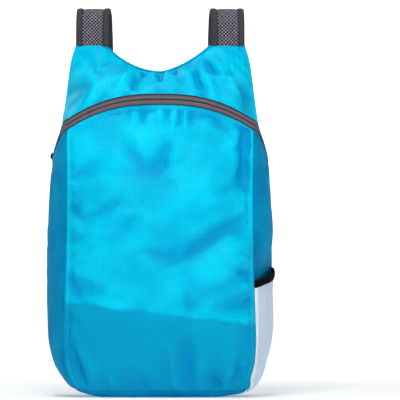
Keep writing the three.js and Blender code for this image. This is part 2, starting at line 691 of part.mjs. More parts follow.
const coilHalf = ZIP_COIL_WIDTH / 2;
add("zipper_tape_lower", zipStrip(-zipHalf, -coilHalf - SEAM_GAP, 0, ZIP_WALL), TAPE_GREY, 0.8);
add("zipper_tape_upper", zipStrip(coilHalf + SEAM_GAP, zipHalf, 0, ZIP_WALL), TAPE_GREY, 0.8);
add("zipper_coil", zipStrip(-coilHalf, coilHalf, ZIP_COIL_RISE, ZIP_WALL + ZIP_COIL_RISE), COIL_DARK, 0.4);
add("zipper_slider", zipperSlider(), BLACK, 0.4);
add("neckline_binding", necklineBinding(), TEAL, 0.6);
add("pocket_mesh", pocketMesh(), POCKET_WHITE, 0.8);
add("pocket_elastic", pocketElastic(), BLACK, 0.9);

for (const [label, side] of [["left", -1], ["right", 1]]) {
  const route = strapCurve(side).getPoints(STRAP_STEPS);
  const outer = (STRAP_WIDTH / 2) * side;
  const seam = (STRAP_WIDTH / 2 - STRAP_BINDING_WIDTH) * side;
  const meshHalf = STRAP_WIDTH / 2 - STRAP_BINDING_WIDTH - SEAM_GAP;
  const strip = (p, q, thickness) => ribbon(route, Math.min(p, q), Math.max(p, q), thickness);
  add(`strap_mesh_${label}`, strip(-meshHalf, meshHalf, STRAP_THICKNESS), MESH_GREY, 0.9);
  add(`strap_binding_outer_${label}`, strip(seam, outer, STRAP_BINDING_THICKNESS), STRAP_GREY, 0.9);
  add(`strap_binding_inner_${label}`, strip(-outer, -seam, STRAP_BINDING_THICKNESS), STRAP_GREY, 0.9);
  add(`strap_loop_${label}`, strapLoop(side), STRAP_GREY, 0.9);
  add(`strap_adjuster_${label}`, strapAdjuster(side), BLACK, 0.5);
  add(`strap_webbing_${label}`, strapWebbing(side), STRAP_GREY, 0.9);
  add(`corner_tab_${label}`, cornerTab(side), TEAL, 0.5);
}

// The origin is under the middle of the whole, so the group moves there from the body's own
backpack.updateMatrixWorld(true);
const extent = new THREE.Box3().setFromObject(backpack);
backpack.position.set(-(extent.min.x + extent.max.x) / 2, -(extent.min.y + extent.max.y) / 2, -extent.min.z);

export default backpack;
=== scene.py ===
"""Packable day backpack of ripstop nylon, filled and standing on its base with the zip closed.

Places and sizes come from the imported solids. Lengths are in millimetres until a mesh is built.
The front of the bag faces -Y, and +X is to the right of someone who looks at the front.
"""

import logging
import math
from dataclasses import dataclass, replace
from enum import Enum
from typing import Any, NamedTuple, Optional, Sequence

import bpy
import numpy as np
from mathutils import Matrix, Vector


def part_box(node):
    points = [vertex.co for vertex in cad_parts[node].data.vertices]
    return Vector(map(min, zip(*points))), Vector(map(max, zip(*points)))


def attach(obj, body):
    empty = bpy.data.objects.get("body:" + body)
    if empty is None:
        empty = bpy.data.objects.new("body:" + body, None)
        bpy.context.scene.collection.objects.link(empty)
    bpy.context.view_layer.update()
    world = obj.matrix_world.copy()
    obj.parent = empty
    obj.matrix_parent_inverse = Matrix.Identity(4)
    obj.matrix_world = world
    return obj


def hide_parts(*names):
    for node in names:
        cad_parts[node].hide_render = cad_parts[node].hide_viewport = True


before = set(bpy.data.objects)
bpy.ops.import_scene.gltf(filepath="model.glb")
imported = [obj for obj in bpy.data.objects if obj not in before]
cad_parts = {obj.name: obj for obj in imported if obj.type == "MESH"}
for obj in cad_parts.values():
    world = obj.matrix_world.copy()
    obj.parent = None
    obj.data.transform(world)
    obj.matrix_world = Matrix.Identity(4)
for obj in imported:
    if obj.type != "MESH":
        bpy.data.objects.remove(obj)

log = logging.getLogger("backpack")

MM = 0.001
BODY = "root"
Array = np.ndarray


class Side(Enum):
    """A side of the bag, as someone who looks at its front sees it."""

    LEFT = -1
    RIGHT = 1

    @property
    def label(self) -> str:
        """The side's word in the names of pieces."""
        return self.name.lower()


class Section(NamedTuple):
    """One level of the body, as shares of the named sizes of BagForm."""

    height: float
    half: float
    seam: float
    depth: float
    crown: float


class Fold(NamedTuple):
    """A fold of cloth between two points of a panel, in millimetres.

    A sharp fold has a crest like a crease, a soft one is round. Rise is negative in a valley.
    """

    x1: float
    z1: float
    x2: float
    z2: float
    width: float
    rise: float
    sharp: bool = False


SECTIONS = (
    Section(0.0, 0.59, 0.6, 0.82, 0.2),
    Section(0.013, 0.72, 0.78, 0.88, 0.34),
    Section(0.031, 0.808, 0.89, 0.925, 0.48),
    Section(0.05, 0.856, 0.94, 0.952, 0.6),
    Section(0.076, 0.91, 0.982, 0.975, 0.72),
    Section(0.104, 0.946, 1.004, 0.99, 0.8),
    Section(0.16, 0.981, 1.015, 1.0, 0.91),
    Section(0.26, 0.996, 1.004, 1.0, 1.0),
    Section(0.39, 1.0, 0.99, 0.97, 1.0),
    Section(0.557, 0.975, 0.982, 0.875, 0.92),
    Section(0.67, 0.95, 0.987, 0.77, 0.76),
    Section(0.708, 0.923, 0.99, 0.725, 0.7),
    Section(0.755, 0.879, 0.985, 0.67, 0.6),
    Section(0.84, 0.842, 0.955, 0.57, 0.45),
    Section(0.953, 0.791, 0.93, 0.5, 0.4),
    Section(1.0, 0.747, 0.9, 0.48, 0.4),
)

FRONT_FOLDS = (
    # the long crease that rises to the right seam, and the smooth cloth under it
    Fold(14.0, 158.0, 112.0, 226.0, 8.0, -2.6, True),
    Fold(36.0, 136.0, 116.0, 188.0, 20.0, 5.6),
    # the edge where the front turns down towards the base
    Fold(-84.0, 120.0, -30.0, 108.0, 20.0, 2.6, True),
    Fold(-30.0, 108.0, 30.0, 96.0, 18.0, 3.0, True),
    Fold(30.0, 96.0, 78.0, 86.0, 16.0, 2.4, True),
    Fold(78.0, 86.0, 112.0, 94.0, 12.0, 1.6, True),
    Fold(26.0, 132.0, 40.0, 96.0, 8.0, -1.4),
    # the dimple under the middle of the zip, a wide V, and the cloth round it
    Fold(-4.0, 318.0, -8.0, 262.0, 24.0, -2.0),
    Fold(-58.0, 314.0, 4.0, 254.0, 13.0, -2.8),
    Fold(24.0, 326.0, -10.0, 252.0, 11.0, -2.8),
    Fold(-34.0, 322.0, -10.0, 266.0, 6.0, 1.7, True),
    Fold(-64.0, 290.0, -40.0, 284.0, 12.0, 1.8),
    Fold(-58.0, 272.0, -16.0, 262.0, 8.0, -1.6),
    Fold(24.0, 316.0, 12.0, 268.0, 8.0, 2.2, True),
    Fold(54.0, 318.0, 72.0, 244.0, 16.0, 2.6),
    Fold(-40.0, 240.0, -66.0, 200.0, 8.0, 1.9, True),
    Fold(-30.0, 226.0, -48.0, 190.0, 8.0, -1.6),
    Fold(-2.0, 232.0, 40.0, 240.0, 22.0, 1.6),
    Fold(-20.0, 178.0, 30.0, 170.0, 20.0, -1.8),
    Fold(-86.0, 250.0, -74.0, 180.0, 12.0, 1.4),
    # the deep fold down the right seam
    Fold(98.0, 346.0, 108.0, 232.0, 10.0, -5.2),
    Fold(84.0, 330.0, 90.0, 250.0, 10.0, 1.6),
    # pleats that the zip gathers
    Fold(-30.0, 350.0, -32.0, 318.0, 4.2, 1.5),
    Fold(-20.0, 350.0, -21.0, 322.0, 4.0, -1.2),
    Fold(1.0, 350.0, 0.0, 316.0, 4.4, 1.7),
    Fold(9.0, 350.0, 8.0, 318.0, 3.6, -1.2),
    Fold(17.0, 350.0, 14.0, 308.0, 4.0, 1.7),
    Fold(24.0, 350.0, 24.0, 316.0, 3.2, -1.3),
    Fold(31.0, 350.0, 30.0, 304.0, 3.6, 1.8),
    Fold(38.0, 350.0, 37.0, 314.0, 4.0, -1.2),
    # soft upright folds over the base
    Fold(10.0, 72.0, 21.0, 4.0, 4.2, 3.0, True),
    Fold(28.0, 84.0, 38.0, 0.0, 9.0, -2.8),
    Fold(50.0, 66.0, 46.0, 4.0, 8.0, 1.6),
    Fold(62.0, 30.0, 74.0, 8.0, 4.6, -2.8, True),
    Fold(84.0, 38.0, 76.0, 10.0, 4.6, 2.4, True),
    Fold(97.0, 44.0, 90.0, 14.0, 5.2, -2.2),
    Fold(-107.0, 60.0, -86.0, 10.0, 5.0, -3.2, True),
    Fold(-99.0, 70.0, -72.0, 14.0, 8.0, 2.0),
    Fold(-60.0, 30.0, -52.0, 10.0, 6.0, 1.5),
    # short creases at the right seam
    Fold(92.0, 176.0, 112.0, 166.0, 3.6, -2.2, True),
    Fold(90.0, 160.0, 112.0, 178.0, 4.0, 1.9),
    Fold(88.0, 152.0, 113.0, 146.0, 3.6, -1.9),
    Fold(96.0, 138.0, 113.0, 128.0, 4.2, 1.8),
    Fold(100.0, 108.0, 113.0, 118.0, 3.8, -1.6),
    # short creases at the left seam
    Fold(-112.0, 262.0, -100.0, 246.0, 4.4, 1.6),
    Fold(-112.0, 236.0, -98.0, 216.0, 4.6, -1.9),
    Fold(-112.0, 214.0, -94.0, 200.0, 5.0, 1.5),
    Fold(-112.0, 150.0, -98.0, 118.0, 5.0, -1.7),
)

YOKE_FOLDS = (
    # x and the way from the zip to the top edge in millimetres of the front view
    Fold(-38.0, 6.0, -22.0, 31.0, 6.0, -3.2, True),
    Fold(-53.0, 8.0, -36.0, 36.0, 6.0, 2.8),
    Fold(-90.0, 70.0, -60.0, 12.0, 9.0, 1.8),
    Fold(-78.0, 66.0, -70.0, 20.0, 7.0, -1.6),
    Fold(-19.0, 31.0, -20.0, 23.0, 3.0, -2.6),
    Fold(-9.0, 30.0, -8.0, 18.0, 3.0, 1.6),
    Fold(0.0, 31.0, 0.0, 14.0, 3.4, -3.6, True),
    Fold(8.0, 30.0, 8.0, 18.0, 3.0, 1.8),
    Fold(18.0, 33.0, 17.0, 23.0, 3.0, -2.8),
    Fold(28.0, 34.0, 40.0, 9.0, 6.0, 2.4),
    Fold(38.0, 42.0, 53.0, 8.0, 5.5, -4.2, True),
    Fold(52.0, 40.0, 66.0, 8.0, 7.0, 2.0),
    Fold(52.0, 62.0, 68.0, 38.0, 7.0, -2.8),
    Fold(63.0, 74.0, 78.0, 44.0, 4.6, 3.2, True),
    Fold(80.0, 74.0, 94.0, 50.0, 5.0, -2.4, True),
    Fold(84.0, 60.0, 92.0, 20.0, 7.0, 1.8),
    Fold(98.0, 74.0, 116.0, 0.0, 10.0, -5.8),
)


class RoutePoint(NamedTuple):
    """A point of a strap's route: behind the back, above or below the shoulder, inward."""

    behind: float
    height: float
    inward: float


STRAP_ROUTE = (
    RoutePoint(-0.05, 0.0, 0.0),
    RoutePoint(-0.05, 0.35, 0.0),
    RoutePoint(-0.01, 0.72, 0.005),
    RoutePoint(0.1, 0.95, 0.02),
    RoutePoint(0.27, 1.0, 0.05),
    RoutePoint(0.42, 0.86, 0.08),
    RoutePoint(0.52, 0.5, 0.1),
    RoutePoint(0.6, -0.02, 0.12),
    RoutePoint(0.78, -0.12, 0.13),
    RoutePoint(0.95, -0.25, 0.12),
    RoutePoint(1.0, -0.4, 0.08),
    RoutePoint(0.9, -0.55, 0.02),
    RoutePoint(0.68, -0.67, -0.04),
    RoutePoint(0.55, -0.715, -0.07),
)


def mix(a: Any, b: Any, t: Any) -> Any:
    """The value at share t of the way from a to b."""
    return a + (b - a) * t


def smooth(t: Array) -> Array:
    """Eases a share in and out of its ends."""
    t = np.clip(t, 0.0, 1.0)
    return t * t * (3.0 - 2.0 * t)


def through(known: Array, values: Array, at: Array) -> Array:
    """A smooth cubic through known points that doesn't overshoot them.

    Args:
        known: rising places of the points.
        values: value at each place.
        at: places to read.

    Returns:
        The values there.
    """
    slope = np.diff(values) / np.diff(known)
    product = slope[:-1] * slope[1:]
    total = np.where(slope[:-1] + slope[1:] == 0.0, 1.0, slope[:-1] + slope[1:])
    inner = np.where(product > 0.0, 2.0 * product / total, 0.0)
    tangent = np.concatenate([slope[:1], inner, slope[-1:]])
    i = np.clip(np.searchsorted(known, at, side="right") - 1, 0, len(known) - 2)
    span = known[i + 1] - known[i]
    t = np.clip((at - known[i]) / span, 0.0, 1.0)
    t2 = t * t
    t3 = t2 * t
    return (
        (2 * t3 - 3 * t2 + 1) * values[i]
        + (t3 - 2 * t2 + t) * tangent[i] * span
        + (3 * t2 - 2 * t3) * values[i + 1]
        + (t3 - t2) * tangent[i + 1] * span
    )


def fold_height(x: Array, z: Array, folds: Sequence[Fold]) -> Array:
    """The summed height of folds over a panel.

    Args:
        x: across the panel.
        z: up the panel.
        folds: the folds that cross it.

    Returns:
        Height outward at each point, in millimetres.
    """
    total = np.zeros_like(x)
    for f in folds:
        dx, dz = f.x2 - f.x1, f.z2 - f.z1
        t = np.clip(((x - f.x1) * dx + (z - f.z1) * dz) / (dx * dx + dz * dz), 0.0, 1.0)
        away = np.hypot(x - f.x1 - t * dx, z - f.z1 - t * dz) / f.width
        power = 1.3 if f.sharp else 2.0
        fade = mix(0.2, 1.0, smooth(np.minimum(t, 1.0 - t) / 0.4))
        total += f.rise * fade * np.exp(-(away**power))
    return total


class Crumple:
    """Smooth seeded noise over a plane, for creases too many to list one by one."""

    def __init__(self, seed: int, cells: int = 64) -> None:
        """Draws the lattice from a fixed seed."""
        self.cells = cells
        self.lattice = np.random.default_rng(seed).uniform(-1.0, 1.0, (cells, cells))

    def at(self, u: Array, v: Array) -> Array:
        """The noise at lattice places u and v, from -1 to 1."""
        iu, iv = np.floor(u).astype(int), np.floor(v).astype(int)
        fu, fv = smooth(u - iu), smooth(v - iv)
        n = self.cells

        def corner(i: Array, j: Array) -> Array:
            """The lattice value at whole places, wrapped round."""
            return self.lattice[i % n, j % n]

        low = mix(corner(iu, iv), corner(iu + 1, iv), fu)
        high = mix(corner(iu, iv + 1), corner(iu + 1, iv + 1), fu)
        return mix(low, high, fv)

    def ridged(self, u: Array, v: Array) -> Array:
        """Noise with sharp crests, as creased cloth has, from 0 to 1."""
        return 1.0 - np.abs(self.at(u, v)) ** 0.75


def unit(vectors: Array) -> Array:
    """Vectors brought to length 1, apart from those of length 0."""
    length = np.linalg.norm(vectors, axis=-1, keepdims=True)
    return vectors / np.where(length == 0.0, 1.0, length)


def face_normals(points: Array) -> Array:
    """Outward unit normals of a grid of points whose rows go up and columns to the right."""
    return unit(np.cross(np.gradient(points, axis=1), np.gradient(points, axis=0)))


def strip_frames(line: Array) -> tuple[Array, Array]:
    """Directions across a strip that runs along a line, level with X, and out of its face."""
    ahead = unit(np.gradient(line, axis=0))
    across = unit(np.array([1.0, 0.0, 0.0]) - ahead * ahead[:, :1])
    return across, np.cross(across, ahead)


def swept(line: Array, across: Array, out: Array, wide: Array, high: Array) -> Array:
    """Rings of a tube or a strip along a line.

    Args:
        line: points along its middle.
        across: direction of its width, one for each point or one for all.
        out: direction of its height, likewise.
        wide: how far each point of a ring lies across, for each ring or for all.
        high: how far it lies out, likewise.

    Returns:
        Grid of rings.
    """
    across, out = np.atleast_2d(across)[:, None], np.atleast_2d(out)[:, None]
    return line[:, None] + across * wide[..., None] + out * high[..., None]


def squared_ring(count: int, wide_power: float, high_power: float) -> tuple[Array, Array]:
    """A closed ring between a circle (powers of 1) and a square (powers near 0)."""
    ring = np.linspace(0.0, 2.0 * math.pi, count)
    c, s = np.cos(ring), np.sin(ring)
    return np.sign(c) * np.abs(c) ** wide_power, np.sign(s) * np.abs(s) ** high_power


def cloth_lengths(points: Array) -> Array:
    """Lengths along the cloth, across and up, for each point of a grid.

    Args:
        points: grid of rows, columns and coordinates.

    Returns:
        The same grid with two numbers a point, in millimetres, counted from the middle
        column and the lowest row.
    """
    across = np.linalg.norm(np.diff(points, axis=1), axis=2)
    up = np.linalg.norm(np.diff(points, axis=0), axis=2)
    u = np.concatenate([np.zeros((points.shape[0], 1)), np.cumsum(across, axis=1)], axis=1)
    v = np.concatenate([np.zeros((1, points.shape[1])), np.cumsum(up, axis=0)], axis=0)
    middle = points.shape[1] // 2
    return np.stack([u - u[:, middle : middle + 1], v], axis=2)


def blurred(values: Array, down: int, across: int) -> Array:
    """A grid of numbers blurred by a bell over so many rows and columns."""
    for axis, reach in ((0, down), (1, across)):
        if reach < 1:
            continue
        at = np.arange(-3 * reach, 3 * reach + 1)
        bell = np.exp(-0.5 * (at / reach) ** 2)
        bell /= bell.sum()
        pad = [(0, 0)] * values.ndim
        pad[axis] = (3 * reach, 3 * reach)
        wide = np.pad(values, pad, mode="edge")
        wide = np.moveaxis(wide, axis, 0)
        total = sum(w * wide[i : i + values.shape[axis]] for i, w in enumerate(bell))
        values = np.moveaxis(total, 0, axis)
    return values


def relief_tone(shell: Array, base: Array, reach: int = 9, depth: float = 1.5) -> Array:
    """How far cloth lies on a crest or in a valley of its folds, for painted shade and highlight.

    Args:
        shell: the folded cloth.
        base: the same cloth before it was folded.
        reach: rows and columns over which crests and valleys are told apart.
        depth: height in millimetres that counts as a full crest.

    Returns:
        0 in a deep valley, 0.5 on flat cloth and 1 on a high crest.
    """
    height = ((shell - base) * face_normals(base)).sum(axis=2)
    return 0.5 + 0.5 * np.tanh((height - blurred(height, reach, reach)) / depth)


def refined(coarse: Array, step: int) -> Array:
    """Reads a coarse grid at step times as many places, by a smooth cubic through it."""
    for axis in (0, 1):
        count = coarse.shape[axis]
        place = np.arange((count - 1) * step + 1) / step
        i = np.minimum(place.astype(int), count - 2)
        shape = [1] * coarse.ndim
        shape[axis] = -1
        t = (place - i).reshape(shape)
        p = [np.take(coarse, np.clip(i + k, 0, count - 1), axis=axis) for k in (-1, 0, 1, 2)]
        bend = 2 * p[0] - 5 * p[1] + 4 * p[2] - p[3]
        twist = 3 * (p[1] - p[2]) + p[3] - p[0]
        coarse = p[1] + 0.5 * t * (p[2] - p[0] + t * (bend + t * twist))
    return coarse


@dataclass(frozen=True)
class ClothRun:
    """A short cloth simulation that lets a sewn panel find its own wrinkles."""

    step: int = 3
    frames: int = 22
    slack: float = 0.035
    pressure: float = 2.2
    limit: float = 5.5
    sway: int = 16

    def settle(self, points: Array, held: Array) -> Array:
        """Simulates a panel as loose cloth, held along its seams.

        Args:
            points: fine grid of the panel, in millimetres.
            held: true where a seam holds the cloth.

        Returns: Movement of each point of the fine grid, in millimetres.
        """
        coarse = points[:: self.step, :: self.step]
        made = grid_object("cloth_run", coarse, None)
        group = made.vertex_groups.new(name="held")
        fixed = held[:: self.step, :: self.step].ravel()
        group.add(np.flatnonzero(fixed).tolist(), 1.0, "REPLACE")
        cloth = made.modifiers.new("cloth", "CLOTH")
        way = cloth.settings
        way.quality = 6
        way.mass = 0.2
        way.tension_stiffness = way.compression_stiffness = 18.0
        way.shear_stiffness = 8.0
        way.bending_stiffness = 0.35
        way.air_damping = 3.0
        way.vertex_group_mass = "held"
        way.shrink_min = -self.slack
        way.use_pressure = True
        way.uniform_pressure_force = self.pressure
        way.effector_weights.gravity = 0.0
        cloth.collision_settings.use_collision = False
        scene = bpy.context.scene
        cloth.point_cache.frame_start = 1
        cloth.point_cache.frame_end = self.frames
        for frame_number in range(1, self.frames + 1):
            scene.frame_set(frame_number)
        posed = made.evaluated_get(bpy.context.evaluated_depsgraph_get())
        flat = np.empty(coarse.size)
        posed.data.vertices.foreach_get("co", flat)
        moved = flat.reshape(coarse.shape) / MM - coarse
        scene.frame_set(1)
        mesh = made.data
        bpy.data.objects.remove(made)
        bpy.data.meshes.remove(mesh)
        free = ~fixed.reshape(coarse.shape[:2])[..., None]
        moved -= blurred(moved, self.sway // 2, self.sway // 2) * free
        length = np.linalg.norm(moved, axis=2, keepdims=True)
        moved *= np.minimum(1.0, self.limit / np.maximum(length, 1e-6))
        log.info("cloth moved %.1f mm on average, %.1f mm at most", length.mean(), length.max())
        return refined(moved, self.step)


@dataclass(frozen=True)
class BagForm:
    """The filled shape of the body, its zip arch and its neckline."""

    height: float = 424.0
    half_width: float = 136.5
    seam_half: float = 113.0
    gusset_depth: float = 112.0
    front_crown: float = 24.0
    back_crown: float = 4.0
    shoulder_half: float = 102.0
    wall: float = 1.6
    seam_gap: float = 0.3
    band_height: float = 8.0
    neckline_half: float = 63.0
    neckline_left: float = 68.0
    neckline_drop: float = 34.5
    corner: float = 24.0
    zip_top: float = 356.5
    zip_arch_drop: float = 30.0
    zip_side_drop: float = 46.0
    zip_side_bend: float = 2.2
    tape_width: float = 4.9
    coil_width: float = 1.8
    pocket_front: float = 139.0
    pocket_rear: float = 155.0
    pocket_dent: float = 9.0
    seam_share: float = 0.6
    widest: float = 0.8
    corner_pull: float = 13.0
    corner_height: float = 28.0

    @property
    def back_face(self) -> float:
        """How far back the outer face of the back panel is."""
        return self.gusset_depth / 2

    @property
    def shell_end(self) -> float:
        """Where the shell meets the inner face of the back panel."""
        return self.back_face - self.wall - self.seam_gap

    @property
    def zip_half(self) -> float:
        """Half the height of the whole zip, from its middle line to a tape's outer edge."""
        return self.coil_width / 2 + self.seam_gap + self.tape_width

    def section(self, column: str, z: Array) -> Array:
        """A column of the sections at heights z."""
        places = np.array([row.height for row in SECTIONS])
        values = np.array([getattr(row, column) for row in SECTIONS])
        return through(places, values, np.asarray(z, dtype=float) / self.height)

    def gusset_share(self, a: Array) -> Array:
        """How far back round a gusset a way lies, from 0 at the front seam."""
        return np.clip((np.abs(a) - self.seam_share) / (1.0 - self.seam_share), 0.0, 1.0)

    def bow(self, q: Any) -> Any:
        """How far out a gusset stands at a share of its way back."""
        return 1.0 - ((q - self.widest) / self.widest) ** 2

    def back_seam_half(self, z: Array) -> Array:
        """Half the width at the back seam."""
        seam = self.seam_half * self.section("seam", z)
        return mix(seam, self.half_width * self.section("half", z), self.bow(1.0))

    def dent(self, a: Array, z: Array) -> Array:
        """How far the right gusset is pressed in behind the filled pocket."""
        q = self.gusset_share(a)
        low = smooth((z - self.band_height) / (0.3 * self.pocket_front))
        high = smooth((1.3 * self.pocket_rear - z) / (0.35 * self.pocket_rear))
        shape = np.sqrt(np.clip(np.sin(np.pi * q), 0.0, 1.0))
        return np.where(a > self.seam_share, self.pocket_dent * shape * low * high, 0.0)

    def zip_line(self, a: Array) -> Array:
        """Height of the zip's middle line round the body."""
        across = np.clip(np.abs(a) / self.seam_share, 0.0, 1.0)
        side = self.gusset_share(a) ** self.zip_side_bend
        return self.zip_top - self.zip_arch_drop * across**2.6 - self.zip_side_drop * side

    def body(self, a: Array, z: Array) -> Array:
        """Outer face of the body below the yoke.

        Args:
            a: way round it, from -1 at the left back seam to 1 at the right one.
            z: height.

        Returns:
            Points, in millimetres.
        """
        a, z = np.broadcast_arrays(np.asarray(a, dtype=float), np.asarray(z, dtype=float))
        side = np.where(a < 0.0, -1.0, 1.0)
        pulled = self.corner_pull * (1.0 - smooth(z / self.corner_height)) * smooth(z / 5.0)
        seam_x = self.seam_half * self.section("seam", z) + np.where(a > 0.0, pulled, 0.0)
        seam_y = self.back_face - self.gusset_depth * self.section("depth", z)
        across = np.clip(a / self.seam_share, -1.0, 1.0)
        crown = self.front_crown * self.section("crown", z)
        q = self.gusset_share(a)
        wide = mix(seam_x, self.half_width * self.section("half", z), self.bow(q)) - self.dent(a, z)
        on_side = np.abs(a) > self.seam_share
        x = np.where(on_side, side * wide, seam_x * across)
        y = np.where(on_side, mix(seam_y, self.shell_end, q), seam_y - crown * (1.0 - across**2))
        return np.stack([x, y, z], axis=-1)

    def top_edge(self, x: Array) -> Array:
        """Height of the top edge, level under the straps and scooped between them."""
        half = np.where(x < 0.0, self.neckline_left, self.neckline_half)
        beyond = self.corner * (1.0 - np.abs(x) / half)
        share = np.clip(1.0 - np.logaddexp(0.0, beyond) / self.corner, 0.0, 1.0)
        power = np.where(x < 0.0, 1.9, 1.5)
        return self.height - self.neckline_drop * (1.0 - share**power)

    def top(self, a: Array) -> Array:
        """Points of the top edge, where the yoke meets the back panel."""
        z = self.top_edge(np.asarray(a) * self.shoulder_half)
        y = np.full_like(z, self.shell_end)
        return np.stack([a * self.back_seam_half(z), y, z], axis=-1)

    def yoke(self, a: Array, v: Array) -> Array:
        """Outer face of the yoke, from the zip (v of 0) to the top edge (v of 1)."""
        foot = self.body(a, self.zip_line(a) + self.zip_half + self.seam_gap)
        head = self.top(a)
        head[..., 2] = mix(blurred(head[..., 2], 0, a.shape[1] // 18), head[..., 2], smooth(v) ** 3)
        rise = mix(v, np.sin(v * np.pi / 2), 0.6)
        back = mix(v, 1.0 - np.cos(v * np.pi / 2), 0.6)
        z = mix(foot[..., 2], head[..., 2], rise)
        low = self.zip_line(np.array(1.0)) + self.zip_half
        share = np.clip((z - low) / (self.height - low), 0.0, 1.0)
        straight = mix(self.back_seam_half(low), self.back_seam_half(self.height), share)
        swell = np.abs(a) * np.sqrt(np.clip(np.sin(v * np.pi), 0.0, 1.0))
        outline = mix(1.0, self.back_seam_half(z) / straight, swell)
        x = mix(foot[..., 0], head[..., 0], rise) * outline
        return np.stack([x, mix(foot[..., 1], head[..., 1], back), z], axis=-1)


FORM = BagForm()


def frame_shift() -> Array:
    """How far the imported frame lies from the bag's own middle, in millimetres."""
    low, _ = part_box("strap_mesh_left")
    _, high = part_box("strap_mesh_right")
    inner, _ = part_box("back_panel")
    middle = (low[0] + high[0]) / 2 / MM
    back = inner[1] / MM + FORM.wall - FORM.back_face
    return np.array([middle, back, 0.0])


SHIFT = frame_shift()


def add_node(
    tree: bpy.types.NodeTree,
    kind: str,
    settings: Optional[dict[str, Any]] = None,
    inputs: Optional[dict[Any, Any]] = None,
) -> bpy.types.Node:
    """Adds one node with its settings and links.

    Args:
        tree: the material's or world's node tree.
        kind: the node's Blender type.
        settings: properties to set.
        inputs: for each input's name or number, a value or the socket to link from.

    Returns:
        The node.
    """
    made = tree.nodes.new(kind)
    for name, value in (settings or {}).items():
        setattr(made, name, value)
    for key, value in (inputs or {}).items():
        if isinstance(value, bpy.types.NodeSocket):
            tree.links.new(value, made.inputs[key])
        else:
            made.inputs[key].default_value = value
    return made


def linear(colour: str) -> tuple[float, float, float, float]:
    """An sRGB hex colour as linear red, green, blue and alpha."""
    values = [int(colour[i : i + 2], 16) / 255 for i in (1, 3, 5)]
    light = [v / 12.92 if v <= 0.04045 else ((v + 0.055) / 1.055) ** 2.4 for v in values]
    return (light[0], light[1], light[2], 1.0)


@dataclass(frozen=True)
class Finish:
    """A real material and how its surface was made."""

    name: str
    slot: str
    colour: str
    roughness: float
    ior: float = 1.5
    sheen: float = 0.0
    gloss: float = 0.5

    def shader(self, tree: bpy.types.NodeTree) -> bpy.types.Node:
        """Adds the surface shader with its constants set."""
        made = add_node(
            tree,
            "ShaderNodeBsdfPrincipled",
            None,
            {
                "Base Color": linear(self.colour),
                "Roughness": self.roughness,
                "IOR": self.ior,
                "Specular IOR Level": self.gloss,
                "Sheen Weight": self.sheen,
                "Sheen Roughness": 0.45,
                "Sheen Tint": linear(self.colour),
            },
        )
        add_node(tree, "ShaderNodeOutputMaterial", None, {"Surface": made.outputs[0]})
        return made

    def dress(self, tree: bpy.types.NodeTree, shader: bpy.types.Node) -> None:
        """Adds the pattern of the surface. A plain finish has none."""

    def material(self) -> bpy.types.Material:
        """The material, made once and found again by its name."""
        found = bpy.data.materials.get(self.name)
        if found is not None:
            return found
        made = bpy.data.materials.new(self.name)
        made.use_nodes = True
        made.node_tree.nodes.clear()
        self.dress(made.node_tree, self.shader(made.node_tree))
        return made


# Settings that several patterns share
COLOURS = {"data_type": "RGBA"}
SOFT = {"interpolation_type": "SMOOTHSTEP"}


def axis_lines(tree: bpy.types.NodeTree, axis: Any, pitch: float, share: float) -> Any:
    """Thin soft lines across one axis.

    Args:
        tree: node tree.
        axis: socket with the place along the axis, in millimetres.
        pitch: distance between lines in millimetres.
        share: the line's share of the pitch.

    Returns:
        Socket, 1 on a line and 0 between lines.
    """
    step = add_node(tree, "ShaderNodeMath", {"operation": "DIVIDE"}, {0: axis, 1: pitch})
    part = add_node(tree, "ShaderNodeMath", {"operation": "FRACT"}, {0: step.outputs[0]})
    off = add_node(tree, "ShaderNodeMath", {"operation": "SUBTRACT"}, {0: part.outputs[0], 1: 0.5})
    away = add_node(tree, "ShaderNodeMath", {"operation": "ABSOLUTE"}, {0: off.outputs[0]})
    line = add_node(
        tree, "ShaderNodeMapRange", SOFT, {0: away.outputs[0], 1: 0.0, 2: share, 3: 1.0, 4: 0.0}
    )
    return line.outputs[0]


def cloth_axes(tree: bpy.types.NodeTree) -> tuple[Any, Any, Any]:
    """The cloth's own two axes in millimetres and both as one vector."""
    place = add_node(tree, "ShaderNodeUVMap", {"uv_map": "cloth"})
    parts = add_node(tree, "ShaderNodeSeparateXYZ", None, {0: place.outputs[0]})
    return parts.outputs[0], parts.outputs[1], place.outputs[0]


